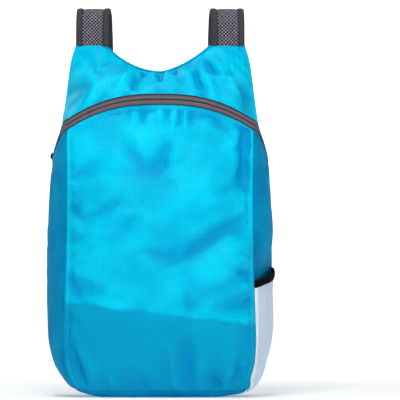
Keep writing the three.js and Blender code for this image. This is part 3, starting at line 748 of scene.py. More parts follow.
@dataclass(frozen=True)
class RipstopNylon(Finish):
    """Thin coated nylon, woven with thicker threads in a grid.

    It gives the eye a bright smooth face with a soft shine, a faint grid of darker lines and
    fine creases from being packed small.
    """

    shade: str = "#0098CC"
    # Painted shade over the lower part: its colour, and the height, tilt, waver and softness of its edge
    doubled: str = ""
    doubled_height: float = 104.0
    doubled_slope: float = 0.13
    doubled_waver: float = 16.0
    doubled_edge: float = 6.0
    pitch: float = 3.0
    line: float = 0.22
    line_tone: float = 0.7
    patch_size: float = 60.0
    patch_shift: float = 500.0
    cloud_size: float = 46.0
    crease_size: float = 9.0
    crease_depth: float = 1.2
    thread_depth: float = 0.12
    # Painted fold shade and highlight: valley colour, own colour kept in the deepest valley, crest lift
    valley: str = "#0096D2"
    valley_keep: float = 0.22
    crest: float = 1.14

    def grid(self, tree: bpy.types.NodeTree, u: Any, v: Any, both: Any) -> Any:
        """The thick threads, each set of them plainer in some places than in others."""
        lines = []
        for axis, shift in ((u, 0.0), (v, self.patch_shift)):
            line = axis_lines(tree, axis, self.pitch, self.line)
            moved = add_node(
                tree, "ShaderNodeVectorMath", {"operation": "ADD"}, {0: both, 1: (shift, shift, 0.0)}
            )
            patch = add_node(
                tree,
                "ShaderNodeTexNoise",
                None,
                {"Vector": moved.outputs[0], "Scale": 1.0 / self.patch_size, "Detail": 1.0},
            )
            plain = add_node(
                tree, "ShaderNodeMapRange", SOFT, {0: patch.outputs[0], 1: 0.35, 2: 0.65, 3: 0.35, 4: 1.0}
            )
            part = add_node(
                tree, "ShaderNodeMath", {"operation": "MULTIPLY"}, {0: line, 1: plain.outputs[0]}
            )
            lines.append(part.outputs[0])
        made = add_node(tree, "ShaderNodeMath", {"operation": "MAXIMUM"}, {0: lines[0], 1: lines[1]})
        return made.outputs[0]

    def deeper(self, tree: bpy.types.NodeTree, u: Any, v: Any, cloud: Any, body: Any) -> Any:
        """Paints shade over the cloth below a tilted, wavering line."""
        tilt = add_node(
            tree, "ShaderNodeMath", {"operation": "MULTIPLY_ADD"}, {0: u, 1: self.doubled_slope, 2: v}
        )
        level = add_node(
            tree,
            "ShaderNodeMath",
            {"operation": "MULTIPLY_ADD"},
            {0: cloud, 1: self.doubled_waver, 2: tilt.outputs[0]},
        )
        low, high = self.doubled_height, self.doubled_height + self.doubled_edge
        share = add_node(
            tree, "ShaderNodeMapRange", SOFT, {0: level.outputs[0], 1: low, 2: high, 3: 0.0, 4: 1.0}
        )
        made = add_node(
            tree, "ShaderNodeMix", COLOURS, {0: share.outputs[0], 6: linear(self.doubled), 7: body}
        )
        return made.outputs[2]

    def dress(self, tree: bpy.types.NodeTree, shader: bpy.types.Node) -> None:
        """Adds the thread grid, cloudy colour, painted shade and highlight of the folds, and fine creases.
        """
        u, v, both = cloth_axes(tree)
        threads = self.grid(tree, u, v, both)
        cloud, fine = (
            add_node(
                tree, "ShaderNodeTexNoise", None, {"Vector": both, "Scale": 1.0 / size, "Detail": 3.0}
            ).outputs[0]
            for size in (self.cloud_size, self.crease_size)
        )
        share = add_node(tree, "ShaderNodeMapRange", SOFT, {0: cloud, 1: 0.35, 2: 0.65, 3: 0.0, 4: 1.0})
        dark, light = linear(self.shade), linear(self.colour)
        body = add_node(tree, "ShaderNodeMix", COLOURS, {0: share.outputs[0], 6: dark, 7: light}).outputs[2]
        if self.doubled:
            body = self.deeper(tree, u, v, cloud, body)
        # Painted shade: the valleys of the folds are mixed towards the valley colour
        relief = add_node(tree, "ShaderNodeAttribute", {"attribute_name": "relief"}).outputs["Fac"]
        sunk = add_node(
            tree, "ShaderNodeMapRange", SOFT, {0: relief, 1: 0.0, 2: 0.5, 3: self.valley_keep, 4: 1.0}
        )
        painted_valley_shade_colour = add_node(
            tree, "ShaderNodeMix", COLOURS, {0: sunk.outputs[0], 6: linear(self.valley), 7: body}
        )
        keep = add_node(
            tree, "ShaderNodeMapRange", None, {0: threads, 1: 0.0, 2: 1.0, 3: 1.0, 4: self.line_tone}
        )
        # Painted highlight: the crests of the folds are made lighter
        worn = add_node(tree, "ShaderNodeMapRange", None, {0: relief, 1: 0.5, 2: 1.0, 3: 1.0, 4: self.crest})
        bright = add_node(
            tree, "ShaderNodeMath", {"operation": "MULTIPLY"}, {0: keep.outputs[0], 1: worn.outputs[0]}
        )
        shaded = add_node(
            tree,
            "ShaderNodeVectorMath",
            {"operation": "SCALE"},
            {0: painted_valley_shade_colour.outputs[2], "Scale": bright.outputs[0]},
        )
        tree.links.new(shaded.outputs[0], shader.inputs["Base Color"])
        raised = None
        for height, strength, depth in (
            (fine, 0.35, self.crease_depth),
            (threads, 0.5, self.thread_depth),
        ):
            inputs = {"Strength": strength, "Distance": depth * MM, "Height": height}
            if raised is not None:
                inputs["Normal"] = raised
            raised = add_node(tree, "ShaderNodeBump", None, inputs).outputs[0]
        tree.links.new(raised, shader.inputs["Normal"])


@dataclass(frozen=True)
class WovenTape(Finish):
    """Dense woven polyester tape: dull, with ribs along it that catch a little light."""

    shade: str = "#2C2C30"
    pitch: float = 1.1
    pick: float = 0.7
    line: float = 0.35
    cloud_size: float = 7.0

    def dress(self, tree: bpy.types.NodeTree, shader: bpy.types.Node) -> None:
        """Adds ribs across the width, picks along the length and a cloudy colour."""
        u, v, both = cloth_axes(tree)
        ribs = axis_lines(tree, u, self.pitch, self.line)
        picks = axis_lines(tree, v, self.pitch * self.pick, self.line)
        weave = add_node(tree, "ShaderNodeMath", {"operation": "MULTIPLY"}, {0: ribs, 1: picks}).outputs[0]
        cloud = add_node(
            tree, "ShaderNodeTexNoise", None, {"Vector": both, "Scale": 1.0 / self.cloud_size, "Detail": 4.0}
        )
        share = add_node(
            tree,
            "ShaderNodeMath",
            {"operation": "MULTIPLY_ADD", "use_clamp": True},
            {0: weave, 1: 0.5, 2: cloud.outputs[0]},
        )
        dark, light = linear(self.shade), linear(self.colour)
        body = add_node(tree, "ShaderNodeMix", COLOURS, {0: share.outputs[0], 6: dark, 7: light})
        tree.links.new(body.outputs[2], shader.inputs["Base Color"])
        bump = add_node(
            tree, "ShaderNodeBump", None, {"Strength": 0.6, "Distance": 0.25 * MM, "Height": weave}
        )
        tree.links.new(bump.outputs[0], shader.inputs["Normal"])


@dataclass(frozen=True)
class SpacerMesh(Finish):
    """Knitted spacer mesh: a pale diagonal lattice of threads over dark open cells."""

    hole: str = "#060508"
    pitch: float = 4.2
    thread: float = 0.18
    cloud_size: float = 5.0
    brightness: float = 2.1

    def dress(self, tree: bpy.types.NodeTree, shader: bpy.types.Node) -> None:
        """Adds the lattice on both diagonals, its relief and the darker cells."""
        u, v, both = cloth_axes(tree)
        threads = []
        for way in ("ADD", "SUBTRACT"):
            axis = add_node(tree, "ShaderNodeMath", {"operation": way}, {0: u, 1: v})
            threads.append(axis_lines(tree, axis.outputs[0], self.pitch, self.thread))
        net = add_node(
            tree, "ShaderNodeMath", {"operation": "MAXIMUM"}, {0: threads[0], 1: threads[1]}
        ).outputs[0]
        cloud = add_node(
            tree, "ShaderNodeTexNoise", None, {"Vector": both, "Scale": 1.0 / self.cloud_size, "Detail": 2.0}
        )
        worn = add_node(tree, "ShaderNodeMath", {"operation": "MULTIPLY"}, {0: net, 1: cloud.outputs[0]})
        share = add_node(
            tree,
            "ShaderNodeMath",
            {"operation": "MULTIPLY", "use_clamp": True},
            {0: worn.outputs[0], 1: self.brightness},
        )
        dark, light = linear(self.hole), linear(self.colour)
        body = add_node(tree, "ShaderNodeMix", COLOURS, {0: share.outputs[0], 6: dark, 7: light})
        tree.links.new(body.outputs[2], shader.inputs["Base Color"])
        bump = add_node(tree, "ShaderNodeBump", None, {"Strength": 0.9, "Distance": 0.8 * MM, "Height": net})
        tree.links.new(bump.outputs[0], shader.inputs["Normal"])


@dataclass(frozen=True)
class FineMesh(Finish):
    """Fine knitted polyester mesh, pale, with small cells that let the blue behind show."""

    behind: str = "#9DBCD8"
    pitch: float = 1.7
    cloud_size: float = 30.0

    def dress(self, tree: bpy.types.NodeTree, shader: bpy.types.Node) -> None:
        """Adds small cells in offset rows and a soft cloudy tone."""
        _, _, both = cloth_axes(tree)
        cells = add_node(
            tree,
            "ShaderNodeTexVoronoi",
            {"feature": "F1", "distance": "EUCLIDEAN"},
            {"Vector": both, "Scale": 1.0 / self.pitch, "Randomness": 0.15},
        ).outputs["Distance"]
        cloud = add_node(
            tree, "ShaderNodeTexNoise", None, {"Vector": both, "Scale": 1.0 / self.cloud_size, "Detail": 3.0}
        )
        share = add_node(tree, "ShaderNodeMapRange", SOFT, {0: cells, 1: 0.1, 2: 0.5, 3: 0.25, 4: 1.0})
        soft = add_node(
            tree,
            "ShaderNodeMath",
            {"operation": "MULTIPLY_ADD", "use_clamp": True},
            {0: cloud.outputs[0], 1: 0.5, 2: share.outputs[0]},
        )
        dark, light = linear(self.behind), linear(self.colour)
        body = add_node(tree, "ShaderNodeMix", COLOURS, {0: soft.outputs[0], 6: dark, 7: light})
        tree.links.new(body.outputs[2], shader.inputs["Base Color"])
        bump = add_node(
            tree, "ShaderNodeBump", None, {"Strength": 0.5, "Distance": 0.3 * MM, "Height": cells}
        )
        tree.links.new(bump.outputs[0], shader.inputs["Normal"])


@dataclass(frozen=True)
class RibbedElastic(Finish):
    """Black knitted elastic with narrow ribs along it, nearly without shine."""

    shade: str = "#0E0B0C"
    pitch: float = 1.4
    line: float = 0.4

    def dress(self, tree: bpy.types.NodeTree, shader: bpy.types.Node) -> None:
        """Adds ribs along the band."""
        _, v, _ = cloth_axes(tree)
        ribs = axis_lines(tree, v, self.pitch, self.line)
        dark, light = linear(self.colour), linear(self.shade)
        body = add_node(tree, "ShaderNodeMix", COLOURS, {0: ribs, 6: dark, 7: light})
        tree.links.new(body.outputs[2], shader.inputs["Base Color"])
        bump = add_node(
            tree, "ShaderNodeBump", None, {"Strength": 0.7, "Distance": 0.3 * MM, "Height": ribs}
        )
        tree.links.new(bump.outputs[0], shader.inputs["Normal"])


@dataclass(frozen=True)
class MouldedAcetal(Finish):
    """Injection-moulded acetal: black, even, with a very fine spark-eroded grain."""

    grain: float = 0.6

    def dress(self, tree: bpy.types.NodeTree, shader: bpy.types.Node) -> None:
        """Adds the fine grain and faint worn patches."""
        place = add_node(tree, "ShaderNodeTexCoord").outputs["Object"]
        spots = add_node(
            tree,
            "ShaderNodeTexNoise",
            None,
            {"Vector": place, "Scale": 1.0 / (self.grain * MM), "Detail": 2.0},
        ).outputs[0]
        low, high = self.roughness - 0.1, self.roughness + 0.12
        rough = add_node(tree, "ShaderNodeMapRange", None, {0: spots, 1: 0.3, 2: 0.7, 3: low, 4: high})
        tree.links.new(rough.outputs[0], shader.inputs["Roughness"])
        bump = add_node(
            tree, "ShaderNodeBump", None, {"Strength": 0.25, "Distance": 0.05 * MM, "Height": spots}
        )
        tree.links.new(bump.outputs[0], shader.inputs["Normal"])


@dataclass(frozen=True)
class BacklitSheet(Finish):
    """White acrylic sheet, matt in the middle and lit from below further out.

    It gives the eye an even pale ground without an edge, with a soft shadow by the bag.
    """

    near: float = 250.0
    far: float = 1900.0
    middle: float = 0.27
    glow: float = 0.93

    def dress(self, tree: bpy.types.NodeTree, shader: bpy.types.Node) -> None:
        """Lets the light from below grow with the distance from the middle."""
        place = add_node(tree, "ShaderNodeTexCoord").outputs["Object"]
        away = add_node(tree, "ShaderNodeVectorMath", {"operation": "LENGTH"}, {0: place}).outputs["Value"]
        near, far = self.near * MM, self.far * MM
        share = add_node(
            tree, "ShaderNodeMapRange", SOFT, {0: away, 1: near, 2: far, 3: self.middle, 4: self.glow}
        )
        tree.links.new(share.outputs[0], shader.inputs["Emission Strength"])
        shader.inputs["Emission Color"].default_value = linear("#FFFFFF")


class Lamp(NamedTuple):
    """A soft square light that faces a point over the floor's middle. Power is in watts."""

    name: str
    x: float
    y: float
    z: float
    aim_height: float
    size: float
    power: float


# The key light hangs high over the front, near the bag, with weak lights round it
LAMPS = (
    Lamp("key", -120.0, -1150.0, 1450.0, 240.0, 420.0, 13.0),
    Lamp("fill", 200.0, -3200.0, 900.0, 240.0, 1500.0, 4.0),
    Lamp("top", -100.0, 150.0, 2300.0, 0.0, 1100.0, 21.0),
    Lamp("side", 2600.0, -1500.0, 700.0, 240.0, 900.0, 7.0),
    Lamp("rear", -1500.0, 2600.0, 1500.0, 240.0, 1200.0, 12.0),
)


@dataclass(frozen=True)
class Studio:
    """Pale round floor that curves up to a wall, soft lights and the camera at the photo's angle."""

    frame_width: float = 480.6
    centre_x: float = 48.0
    centre_z: float = 235.9
    distance: float = 8600.0
    sensor: float = 36.0
    floor_flat: float = 10400.0
    sweep_radius: float = 1200.0
    wall_height: float = 1500.0
    air_colour: str = "#F4F7FA"
    air_strength: float = 0.06

    def camera(self) -> None:
        """Sets a level camera that looks straight at the front."""
        data = bpy.data.cameras.new("studio_camera")
        data.sensor_width = self.sensor
        data.lens = self.sensor * self.distance / self.frame_width
        data.clip_end = 100.0
        made = bpy.data.objects.new("studio_camera", data)
        bpy.context.collection.objects.link(made)
        place = np.array([self.centre_x, -self.distance, self.centre_z]) + SHIFT
        made.location = tuple(place * MM)
        made.rotation_euler = (math.pi / 2, 0.0, 0.0)
        bpy.context.scene.camera = made

    def floor(self) -> None:
        """Builds one round sheet that is the floor and curves up to a wall all round."""
        angles = np.linspace(0.0, math.pi / 2, 16)[1:]
        radii = [1.0, 700.0, 1500.0, 3000.0, 6000.0, self.floor_flat]
        heights = [0.0] * len(radii)
        for angle in angles:
            radii.append(self.floor_flat + self.sweep_radius * math.sin(angle))
            heights.append(self.sweep_radius * (1.0 - math.cos(angle)))
        radii.append(radii[-1])
        heights.append(self.wall_height)
        round_ways = np.linspace(0.0, 2.0 * math.pi, 97)
        rows = [
            [(r * math.cos(way), r * math.sin(way), z) for way in round_ways]
            for r, z in zip(radii, heights)
        ]
        made = grid_object("studio_floor", np.array(rows), None)
        made.data.materials.append(PAPER.material())

    def lights(self) -> None:
        """Hangs the lamps and fills the air with a little light."""
        for row in LAMPS:
            data = bpy.data.lights.new(row.name, "AREA")
            data.size = row.size * MM
            data.energy = row.power
            made = bpy.data.objects.new(row.name, data)
            bpy.context.collection.objects.link(made)
            place = Vector((row.x, row.y, row.z)) * MM
            made.location = place
            way = Vector((0.0, 0.0, row.aim_height * MM)) - place
            made.rotation_euler = way.to_track_quat("-Z", "Y").to_euler()
        world = bpy.data.worlds.new("studio_air")
        bpy.context.scene.world = world
        world.use_nodes = True
        tree = world.node_tree
        tree.nodes.clear()
        glow = {"Color": linear(self.air_colour), "Strength": self.air_strength}
        air = add_node(tree, "ShaderNodeBackground", None, glow)
        add_node(tree, "ShaderNodeOutputWorld", None, {0: air.outputs[0]})

    def build(self) -> None:
        """Sets up floor, lights and camera, with colours shown as they are."""
        bpy.context.scene.view_settings.view_transform = "Standard"
        self.floor()
        self.lights()
        self.camera()


def grid_faces(order: Array) -> Array:
    """Four corner numbers for each face of a grid of corners."""
    corners = [order[:-1, :-1], order[:-1, 1:], order[1:, 1:], order[1:, :-1]]
    return np.stack(corners, axis=2).reshape(-1, 4)


def grid_object(name: str, points: Array, lengths: Optional[Array]) -> bpy.types.Object:
    """A sheet without thickness from a grid of points in millimetres."""
    order = np.arange(points.shape[0] * points.shape[1]).reshape(points.shape[:2])
    return mesh_object(name, points.reshape(-1, 3), grid_faces(order).tolist(), lengths)


def mesh_object(
    name: str,
    points: Array,
    faces: Sequence[Sequence[int]],
    lengths: Optional[Array] = None,
    flat_from: Optional[int] = None,
    tone: Optional[Array] = None,
) -> bpy.types.Object:
    """Builds a smooth mesh.

    Args:
        name: the object's name.
        points: corners in millimetres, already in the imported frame.
        faces: corner numbers for each face.
        lengths: the cloth's two lengths at each corner, for its pattern.
        flat_from: faces from this number on are shaded flat.
        tone: what relief_tone gives for each corner. Without it the cloth counts as flat.

    Returns:
        The object.
    """
    mesh = bpy.data.meshes.new(name)
    mesh.from_pydata((points * MM).tolist(), [], faces)
    shade = np.ones(len(faces), dtype=bool)
    if flat_from is not None:
        shade[flat_from:] = False
    mesh.polygons.foreach_set("use_smooth", shade)
    if lengths is not None:
        corner = np.empty(len(mesh.loops), dtype=int)
        mesh.loops.foreach_get("vertex_index", corner)
        layer = mesh.uv_layers.new(name="cloth")
        layer.data.foreach_set("uv", lengths.reshape(-1, 2)[corner].ravel())
        # The relief attribute carries painted shade for fold valleys and painted highlight for crests
        kept = mesh.attributes.new("relief", "FLOAT", "POINT")
        values = np.full(len(points), 0.5) if tone is None else tone
        kept.data.foreach_set("value", values.ravel())
    mesh.update()
    made = bpy.data.objects.new(name, mesh)
    bpy.context.collection.objects.link(made)
    return made


def wall_object(
    name: str,
    outer: Array,
    lengths: Array,
    thickness: float,
    inner: Optional[Array] = None,
    tone: Optional[Array] = None,
) -> bpy.types.Object:
    """A closed wall of cloth.

    Args:
        name: the object's name.
        outer: grid of outer points in the bag's own millimetres.
        lengths: lengths along the cloth at each of them.
        thickness: how thick the wall is.
        inner: grid of inner points, where they don't follow from the thickness.
        tone: what relief_tone gives for each outer point.

    Returns:
        The object.
    """
    if inner is None:
        inner = outer - face_normals(outer) * thickness
    rows, columns = outer.shape[:2]
    count = rows * columns
    out = np.arange(count).reshape(rows, columns)
    back = out + count
    faces = [grid_faces(out), grid_faces(back)[:, [0, 3, 2, 1]]]
    smooth_count = sum(len(f) for f in faces)
    for a, b, flip in (
        (out[0], back[0], True),
        (out[-1], back[-1], False),
        (out[:, 0], back[:, 0], False),
        (out[:, -1], back[:, -1], True),
    ):
        strip = np.stack([a[:-1], a[1:], b[1:], b[:-1]], axis=1)
        faces.append(strip[:, ::-1] if flip else strip)
    points = np.concatenate([outer.reshape(-1, 3), inner.reshape(-1, 3)]) + SHIFT
    both = np.concatenate([lengths.reshape(-1, 2), lengths.reshape(-1, 2)])
    tones = None if tone is None else np.concatenate([tone.ravel(), tone.ravel()])
    return mesh_object(name, points, np.concatenate(faces).tolist(), both, smooth_count, tones)


def place_piece(piece: bpy.types.Object, finish: Finish, *nodes: str) -> bpy.types.Object:
    """Gives a piece its finish, its body and the solids that it stands for."""
    piece.data.materials.append(finish.material())
    if nodes:
        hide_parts(*nodes)
    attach(piece, BODY)
    return piece


PAPER = BacklitSheet("matt_white_acrylic_sheet", "none", "#F7F8F9", 0.9)
# Coated nylon, plain-woven and dyed bright: a clear cyan with a soft shine
BRIGHT_RIPSTOP = RipstopNylon(
    "coated_ripstop_nylon_bright", "ripstop_bright", "#02CFF0", 0.5, 1.53, 0.0, 0.04, shade="#00BBE4"
)
# The front, with painted shade over its lower part below a soft wavering line
FRONT_RIPSTOP = replace(BRIGHT_RIPSTOP, name="coated_ripstop_nylon_front", doubled="#00A2CE")
# The same cloth in a darker colour as painted shade, for the sides, the band and base under the bag and the
# corner tabs
SHADED_RIPSTOP = RipstopNylon(
    "coated_ripstop_nylon_deep",
    "ripstop_dark",
    "#009ACA",
    0.65,
    1.53,
    0.0,
    0.01,
    shade="#0088BC",
    valley="#007CB4",
)
# A narrow folded strip of the same cloth, in a slightly deeper cyan than the yoke
BOUND_RIPSTOP = RipstopNylon(
    "coated_ripstop_nylon_binding", "ripstop_dark", "#02B2D6", 0.6, 1.53, 0.0, 0.02, shade="#00A4CC"
)
# Spun polyester tape of a zip: warm grey with a slight violet tone
ZIP_TAPE = WovenTape(
    "woven_polyester_zip_tape", "zip_tape", "#75686F", 0.8, 1.5, 0.2, 0.3, shade="#574C56"
)
# Woven edge tape of the straps
EDGE_TAPE = WovenTape(
    "woven_polyester_edge_tape", "strap_binding", "#424449", 0.82, 1.5, 0.1, 0.3, shade="#27282D"
)
# Webbing with coarser ribs
WEBBING = WovenTape(
    "woven_polyester_webbing", "webbing", "#4A4A50", 0.78, 1.5, 0.2, shade="#26262A", pitch=1.9
)
# Air mesh of the strap pads
AIR_MESH = SpacerMesh("knitted_spacer_mesh", "air_mesh", "#B4AABB", 0.75, 1.5, 0.1, 0.3)
# Pale knitted mesh of the side pocket
PALE_MESH = FineMesh("knitted_pocket_mesh", "pocket_mesh", "#CFE0F2", 0.7, 1.5, 0.1, 0.2)
# Woven binding of the pocket's front edge, nearly white
PALE_TAPE = WovenTape(
    "woven_pocket_binding", "pocket_mesh", "#F6FAFE", 0.75, 1.5, 0.0, 0.2, shade="#DCE6F0"
)
# Knitted elastic at the mouth of the pocket
ELASTIC = RibbedElastic("knitted_black_elastic", "elastic", "#060405", 0.9, 1.5, 0.0, 0.06)
# Thin dark cords along both edges of the zip: painted shadow where the yoke and the front meet its tapes
ZIP_SHADOW_CORD = WovenTape("bias_piping", "zip_tape", "#21405C", 0.7, 1.5, 0.0, 0.2, shade="#12263C")
# Nylon coil of the zip, moulded and dark
COIL = MouldedAcetal("moulded_nylon_coil", "zip_coil", "#241F28", 0.45)
# Black lacquer on die-cast zinc, read as a dielectric because the lacquer hides the metal
SLIDER_LACQUER = MouldedAcetal("lacquered_zip_slider", "slider", "#0A090A", 0.5, 1.5, 0.0, 0.25)
# Strap hardware, moulded in black acetal
ACETAL = MouldedAcetal("moulded_black_acetal", "buckle", "#101012", 0.42)
# Polyester sewing thread, dyed with the cloth and a little paler where it catches light
THREAD = Finish("spun_sewing_thread", "ripstop_bright", "#35CDF2", 0.6, 1.5, 0.2)
DARK_THREAD = Finish("spun_sewing_thread_dark", "strap_binding", "#1E1E22", 0.7, 1.5, 0.2)


@dataclass
class StitchRow:
    """A row of short raised stitches along a line."""

    name: str
    length: float = 2.4
    pitch: float = 3.4
    radius: float = 0.28
    sink: float = 0.12
    flatness: float = 0.9
    end_share: float = 0.25
    look: float = 0.4

    def build(self, line: Array, normals: Array, finish: Finish) -> bpy.types.Object:
        """Sews the row.

        Args:
            line: points along the row, in the bag's own millimetres.
            normals: outward unit normal at each of them.
            finish: the thread's finish.

        Returns:
            The row as one piece.
        """
        steps = np.linalg.norm(np.diff(line, axis=0), axis=1)
        along = np.concatenate([[0.0], np.cumsum(steps)])
        starts = np.arange(self.pitch / 2, along[-1] - self.length, self.pitch)
        points, faces = [], []
        ring = np.linspace(0.0, math.pi, 5)
        stations = ((0.0, 0.0), (0.2, 0.8), (0.8, 0.8), (1.0, 0.0))
        for start in starts:
            base = len(points)
            for share, fat in stations:
                at = start + share * self.length
                centre = self.read(line, along, at)
                before = self.read(line, along, max(at - self.look, 0.0))
                after = self.read(line, along, min(at + self.look, along[-1]))
                out = self.read(normals, along, at)
                across = unit(np.cross(out, unit(after - before)))
                middle = centre - self.sink * out
                for angle in ring:
                    shift = across * math.cos(angle) + out * math.sin(angle) * self.flatness
                    points.append(middle + shift * self.radius * max(fat, self.end_share))
            n = len(ring)
            for k in range(len(stations) - 1):
                for i in range(n - 1):
                    a = base + k * n + i
                    faces.append((a, a + 1, a + n + 1, a + n))
        return place_piece(mesh_object(self.name, np.array(points) + SHIFT, faces), finish)

    @staticmethod
    def read(values: Array, along: Array, at: float) -> Array:
        """A vector at a distance along the row."""
        return np.array([np.interp(at, along, values[:, k]) for k in range(3)])


@dataclass
class Body:
    """The sewn panels below the zip: front, two gussets, the band under them and the base."""

    front_columns: int = 132
    gusset_columns: int = 48
    rows: int = 192
    cloth: float = 0.9
    welt: float = 0.6
    welt_place: float = 1.6
    groove: float = 1.5
    groove_place: float = 4.6
    pucker: float = 0.8
    pucker_reach: float = 9.0
    crumple: float = 0.55
    settled: float = 0.7
    fold_scale: float = 1.75
    side_slack: float = 0.3
    run: ClothRun = ClothRun()

    def ways(self) -> Array:
        """Ways round the body, with one on each front seam."""
        s = FORM.seam_share
        left = np.linspace(-1.0, -s, self.gusset_columns + 1)[:-1]
        front = np.linspace(-s, s, self.front_columns + 1)
        right = np.linspace(s, 1.0, self.gusset_columns + 1)[1:]
        return np.concatenate([left, front, right])

    def base_grid(self) -> tuple[Array, Array]:
        """The smooth shell from the band to the zip, and its ways."""
        ways = self.ways()
        shares = np.linspace(0.0, 1.0, self.rows + 1) ** 1.12
        a, t = np.meshgrid(ways, shares)
        top = FORM.zip_line(a) - FORM.zip_half
        z = mix(FORM.band_height, top, t)
        return FORM.body(a, z), a

    def seam_distances(self, lengths: Array) -> tuple[Array, Array]:
        """How far each point is from the nearer front seam and from the zip."""
        left, right = self.gusset_columns, self.gusset_columns + self.front_columns
        u, v = lengths[..., 0], lengths[..., 1]
        sideways = np.minimum(np.abs(u - u[:, left : left + 1]), np.abs(u - u[:, right : right + 1]))
        return sideways, v[-1:, :] - v

    def folds(self, points: Array, lengths: Array, a: Array) -> Array:
        """Height of the folds and large creases over the smooth shell.

        Args:
            points: the smooth shell.
            lengths: lengths along its cloth.
            a: ways round the body.

        Returns:
            Height outward at each point, in millimetres.
        """
        u, v = lengths[..., 0], lengths[..., 1]
        edge = np.minimum(*self.seam_distances(lengths))
        on_front = np.abs(a) <= FORM.seam_share + 1e-9
        placed = fold_height(points[..., 0], points[..., 2], FRONT_FOLDS)
        height = np.where(on_front, placed * self.fold_scale, 0.0) * smooth(edge / 7.0)
        wide = Crumple(11).ridged(u / 34.0 + 7.0, v / 41.0 + u / 90.0) - 0.5
        height += 1.4 * wide * self.crumple * smooth(edge / 14.0)
        return height * smooth((1.0 - np.abs(a)) / 0.05) * smooth(v / 7.0)

    def sewing(self, lengths: Array, a: Array) -> Array:
        """Height of the sewn edges: a rolled welt, the groove beside it and its puckers.

        Args:
            lengths: lengths along the cloth.
            a: ways round the body.

        Returns:
            Height outward at each point, in millimetres.
        """
        u, v = lengths[..., 0], lengths[..., 1]
        sideways, below_zip = self.seam_distances(lengths)
        edge = np.minimum(sideways, below_zip)
        run = np.where(sideways < below_zip, v, u)
        on_front = np.abs(a) <= FORM.seam_share + 1e-9
        wave = Crumple(5).at(run / 5.6, np.full_like(run, 3.3) + np.sign(a) * 2.0)
        lumps = Crumple(6).at(run / 13.0, np.full_like(run, 8.3) + np.sign(a) * 2.0)
        reach = np.exp(-edge / self.pucker_reach)
        height = (self.pucker * wave + 1.1 * lumps) * reach * smooth(edge / 2.5)
        height += self.welt * np.exp(-(((edge - self.welt_place) / 1.1) ** 2)) * on_front
        height -= self.groove * np.exp(-(((edge - self.groove_place) / 2.0) ** 2))
        height -= 0.8 * np.exp(-((v / 3.0) ** 2))
        fine = Crumple(23).ridged(u / 12.0 + v / 30.0, v / 15.0) - 0.5
        height += 0.5 * fine * self.crumple * smooth(edge / 14.0)
        return height * smooth((1.0 - np.abs(a)) / 0.05)

    def shell(self) -> tuple[Array, Array, Array]:
        """The outer face of the panels, the lengths along their cloth and its tone."""
        base, a = self.base_grid()
        lengths = cloth_lengths(base)
        points = base + face_normals(base) * self.folds(base, lengths, a)[..., None]
        held = np.zeros(points.shape[:2], dtype=bool)
        held[[0, -1]] = True
        for column in (0, self.gusset_columns, -1 - self.gusset_columns, -1):
            held[:, column] = True
        moved = self.run.settle(points, held) * self.settled
        moved[np.abs(a) > FORM.seam_share] *= self.side_slack
        points = points + moved
        # Tone for painted shade in the fold valleys and painted highlight on the crests
        tone = relief_tone(points, base, 14, 3.2)
        points = points + face_normals(points) * self.sewing(lengths, a)[..., None]
        return points, lengths, tone

    def build(self) -> None:
        """Builds the panels and their topstitching."""
        shell, lengths, tone = self.shell()
        inner = shell - face_normals(shell) * self.cloth
        left, right = self.gusset_columns, self.gusset_columns + self.front_columns
        for name, low, high, finish in (
            ("side_gusset_left", 0, left + 1, SHADED_RIPSTOP),
            ("front_panel", left, right + 1, FRONT_RIPSTOP),
            ("side_gusset_right", right, shell.shape[1], SHADED_RIPSTOP),
        ):
            cut = slice(low, high)
            piece = wall_object(
                f"{name}_cloth",
                shell[:, cut],
                lengths[:, cut],
                self.cloth,
                inner[:, cut],
                tone[:, cut],
            )
            place_piece(piece, finish, name)
        normals = face_normals(shell)
        for side, column in ((Side.LEFT, left + 2), (Side.RIGHT, right - 2)):
            row = StitchRow(f"front_seam_stitches_{side.label}")
            row.build(shell[4:-3, column], normals[4:-3, column], THREAD)
        row = StitchRow("front_top_stitches")
        row.build(shell[-3, left + 3 : right - 2], normals[-3, left + 3 : right - 2], THREAD)
        self.bottom(shell[0], inner[0])

    def bottom(self, rim: Array, rim_inner: Array) -> None:
        """Builds the band that rolls under the bag and the flat base."""
        ways = self.ways()
        shares = np.linspace(0.0, 1.0, 9) ** 1.5
        a, t = np.meshgrid(ways, shares)
        points = FORM.body(a, t * FORM.band_height)
        points[-1] = rim
        lengths = cloth_lengths(points)
        normals = face_normals(points)
        normals[0] = (0.0, 0.0, -1.0)
        inner = points - normals * self.cloth
        inner[-1] = rim_inner
        piece = wall_object("bottom_band_cloth", points, lengths, self.cloth, inner)
        place_piece(piece, SHADED_RIPSTOP, "bottom_band")
        edge = points[0]
        middle = edge.mean(axis=0)
        rings = np.linspace(0.0, 1.0, 30)[:, None, None]
        plate = middle + (edge[None] - middle) * (1.0 - rings * 0.999)
        plate = plate[:, ::-1]
        under = plate + np.array([0.0, 0.0, self.cloth])
        piece = wall_object("base_panel_cloth", plate, plate[..., :2], self.cloth, under)
        place_piece(piece, SHADED_RIPSTOP, "base_panel")


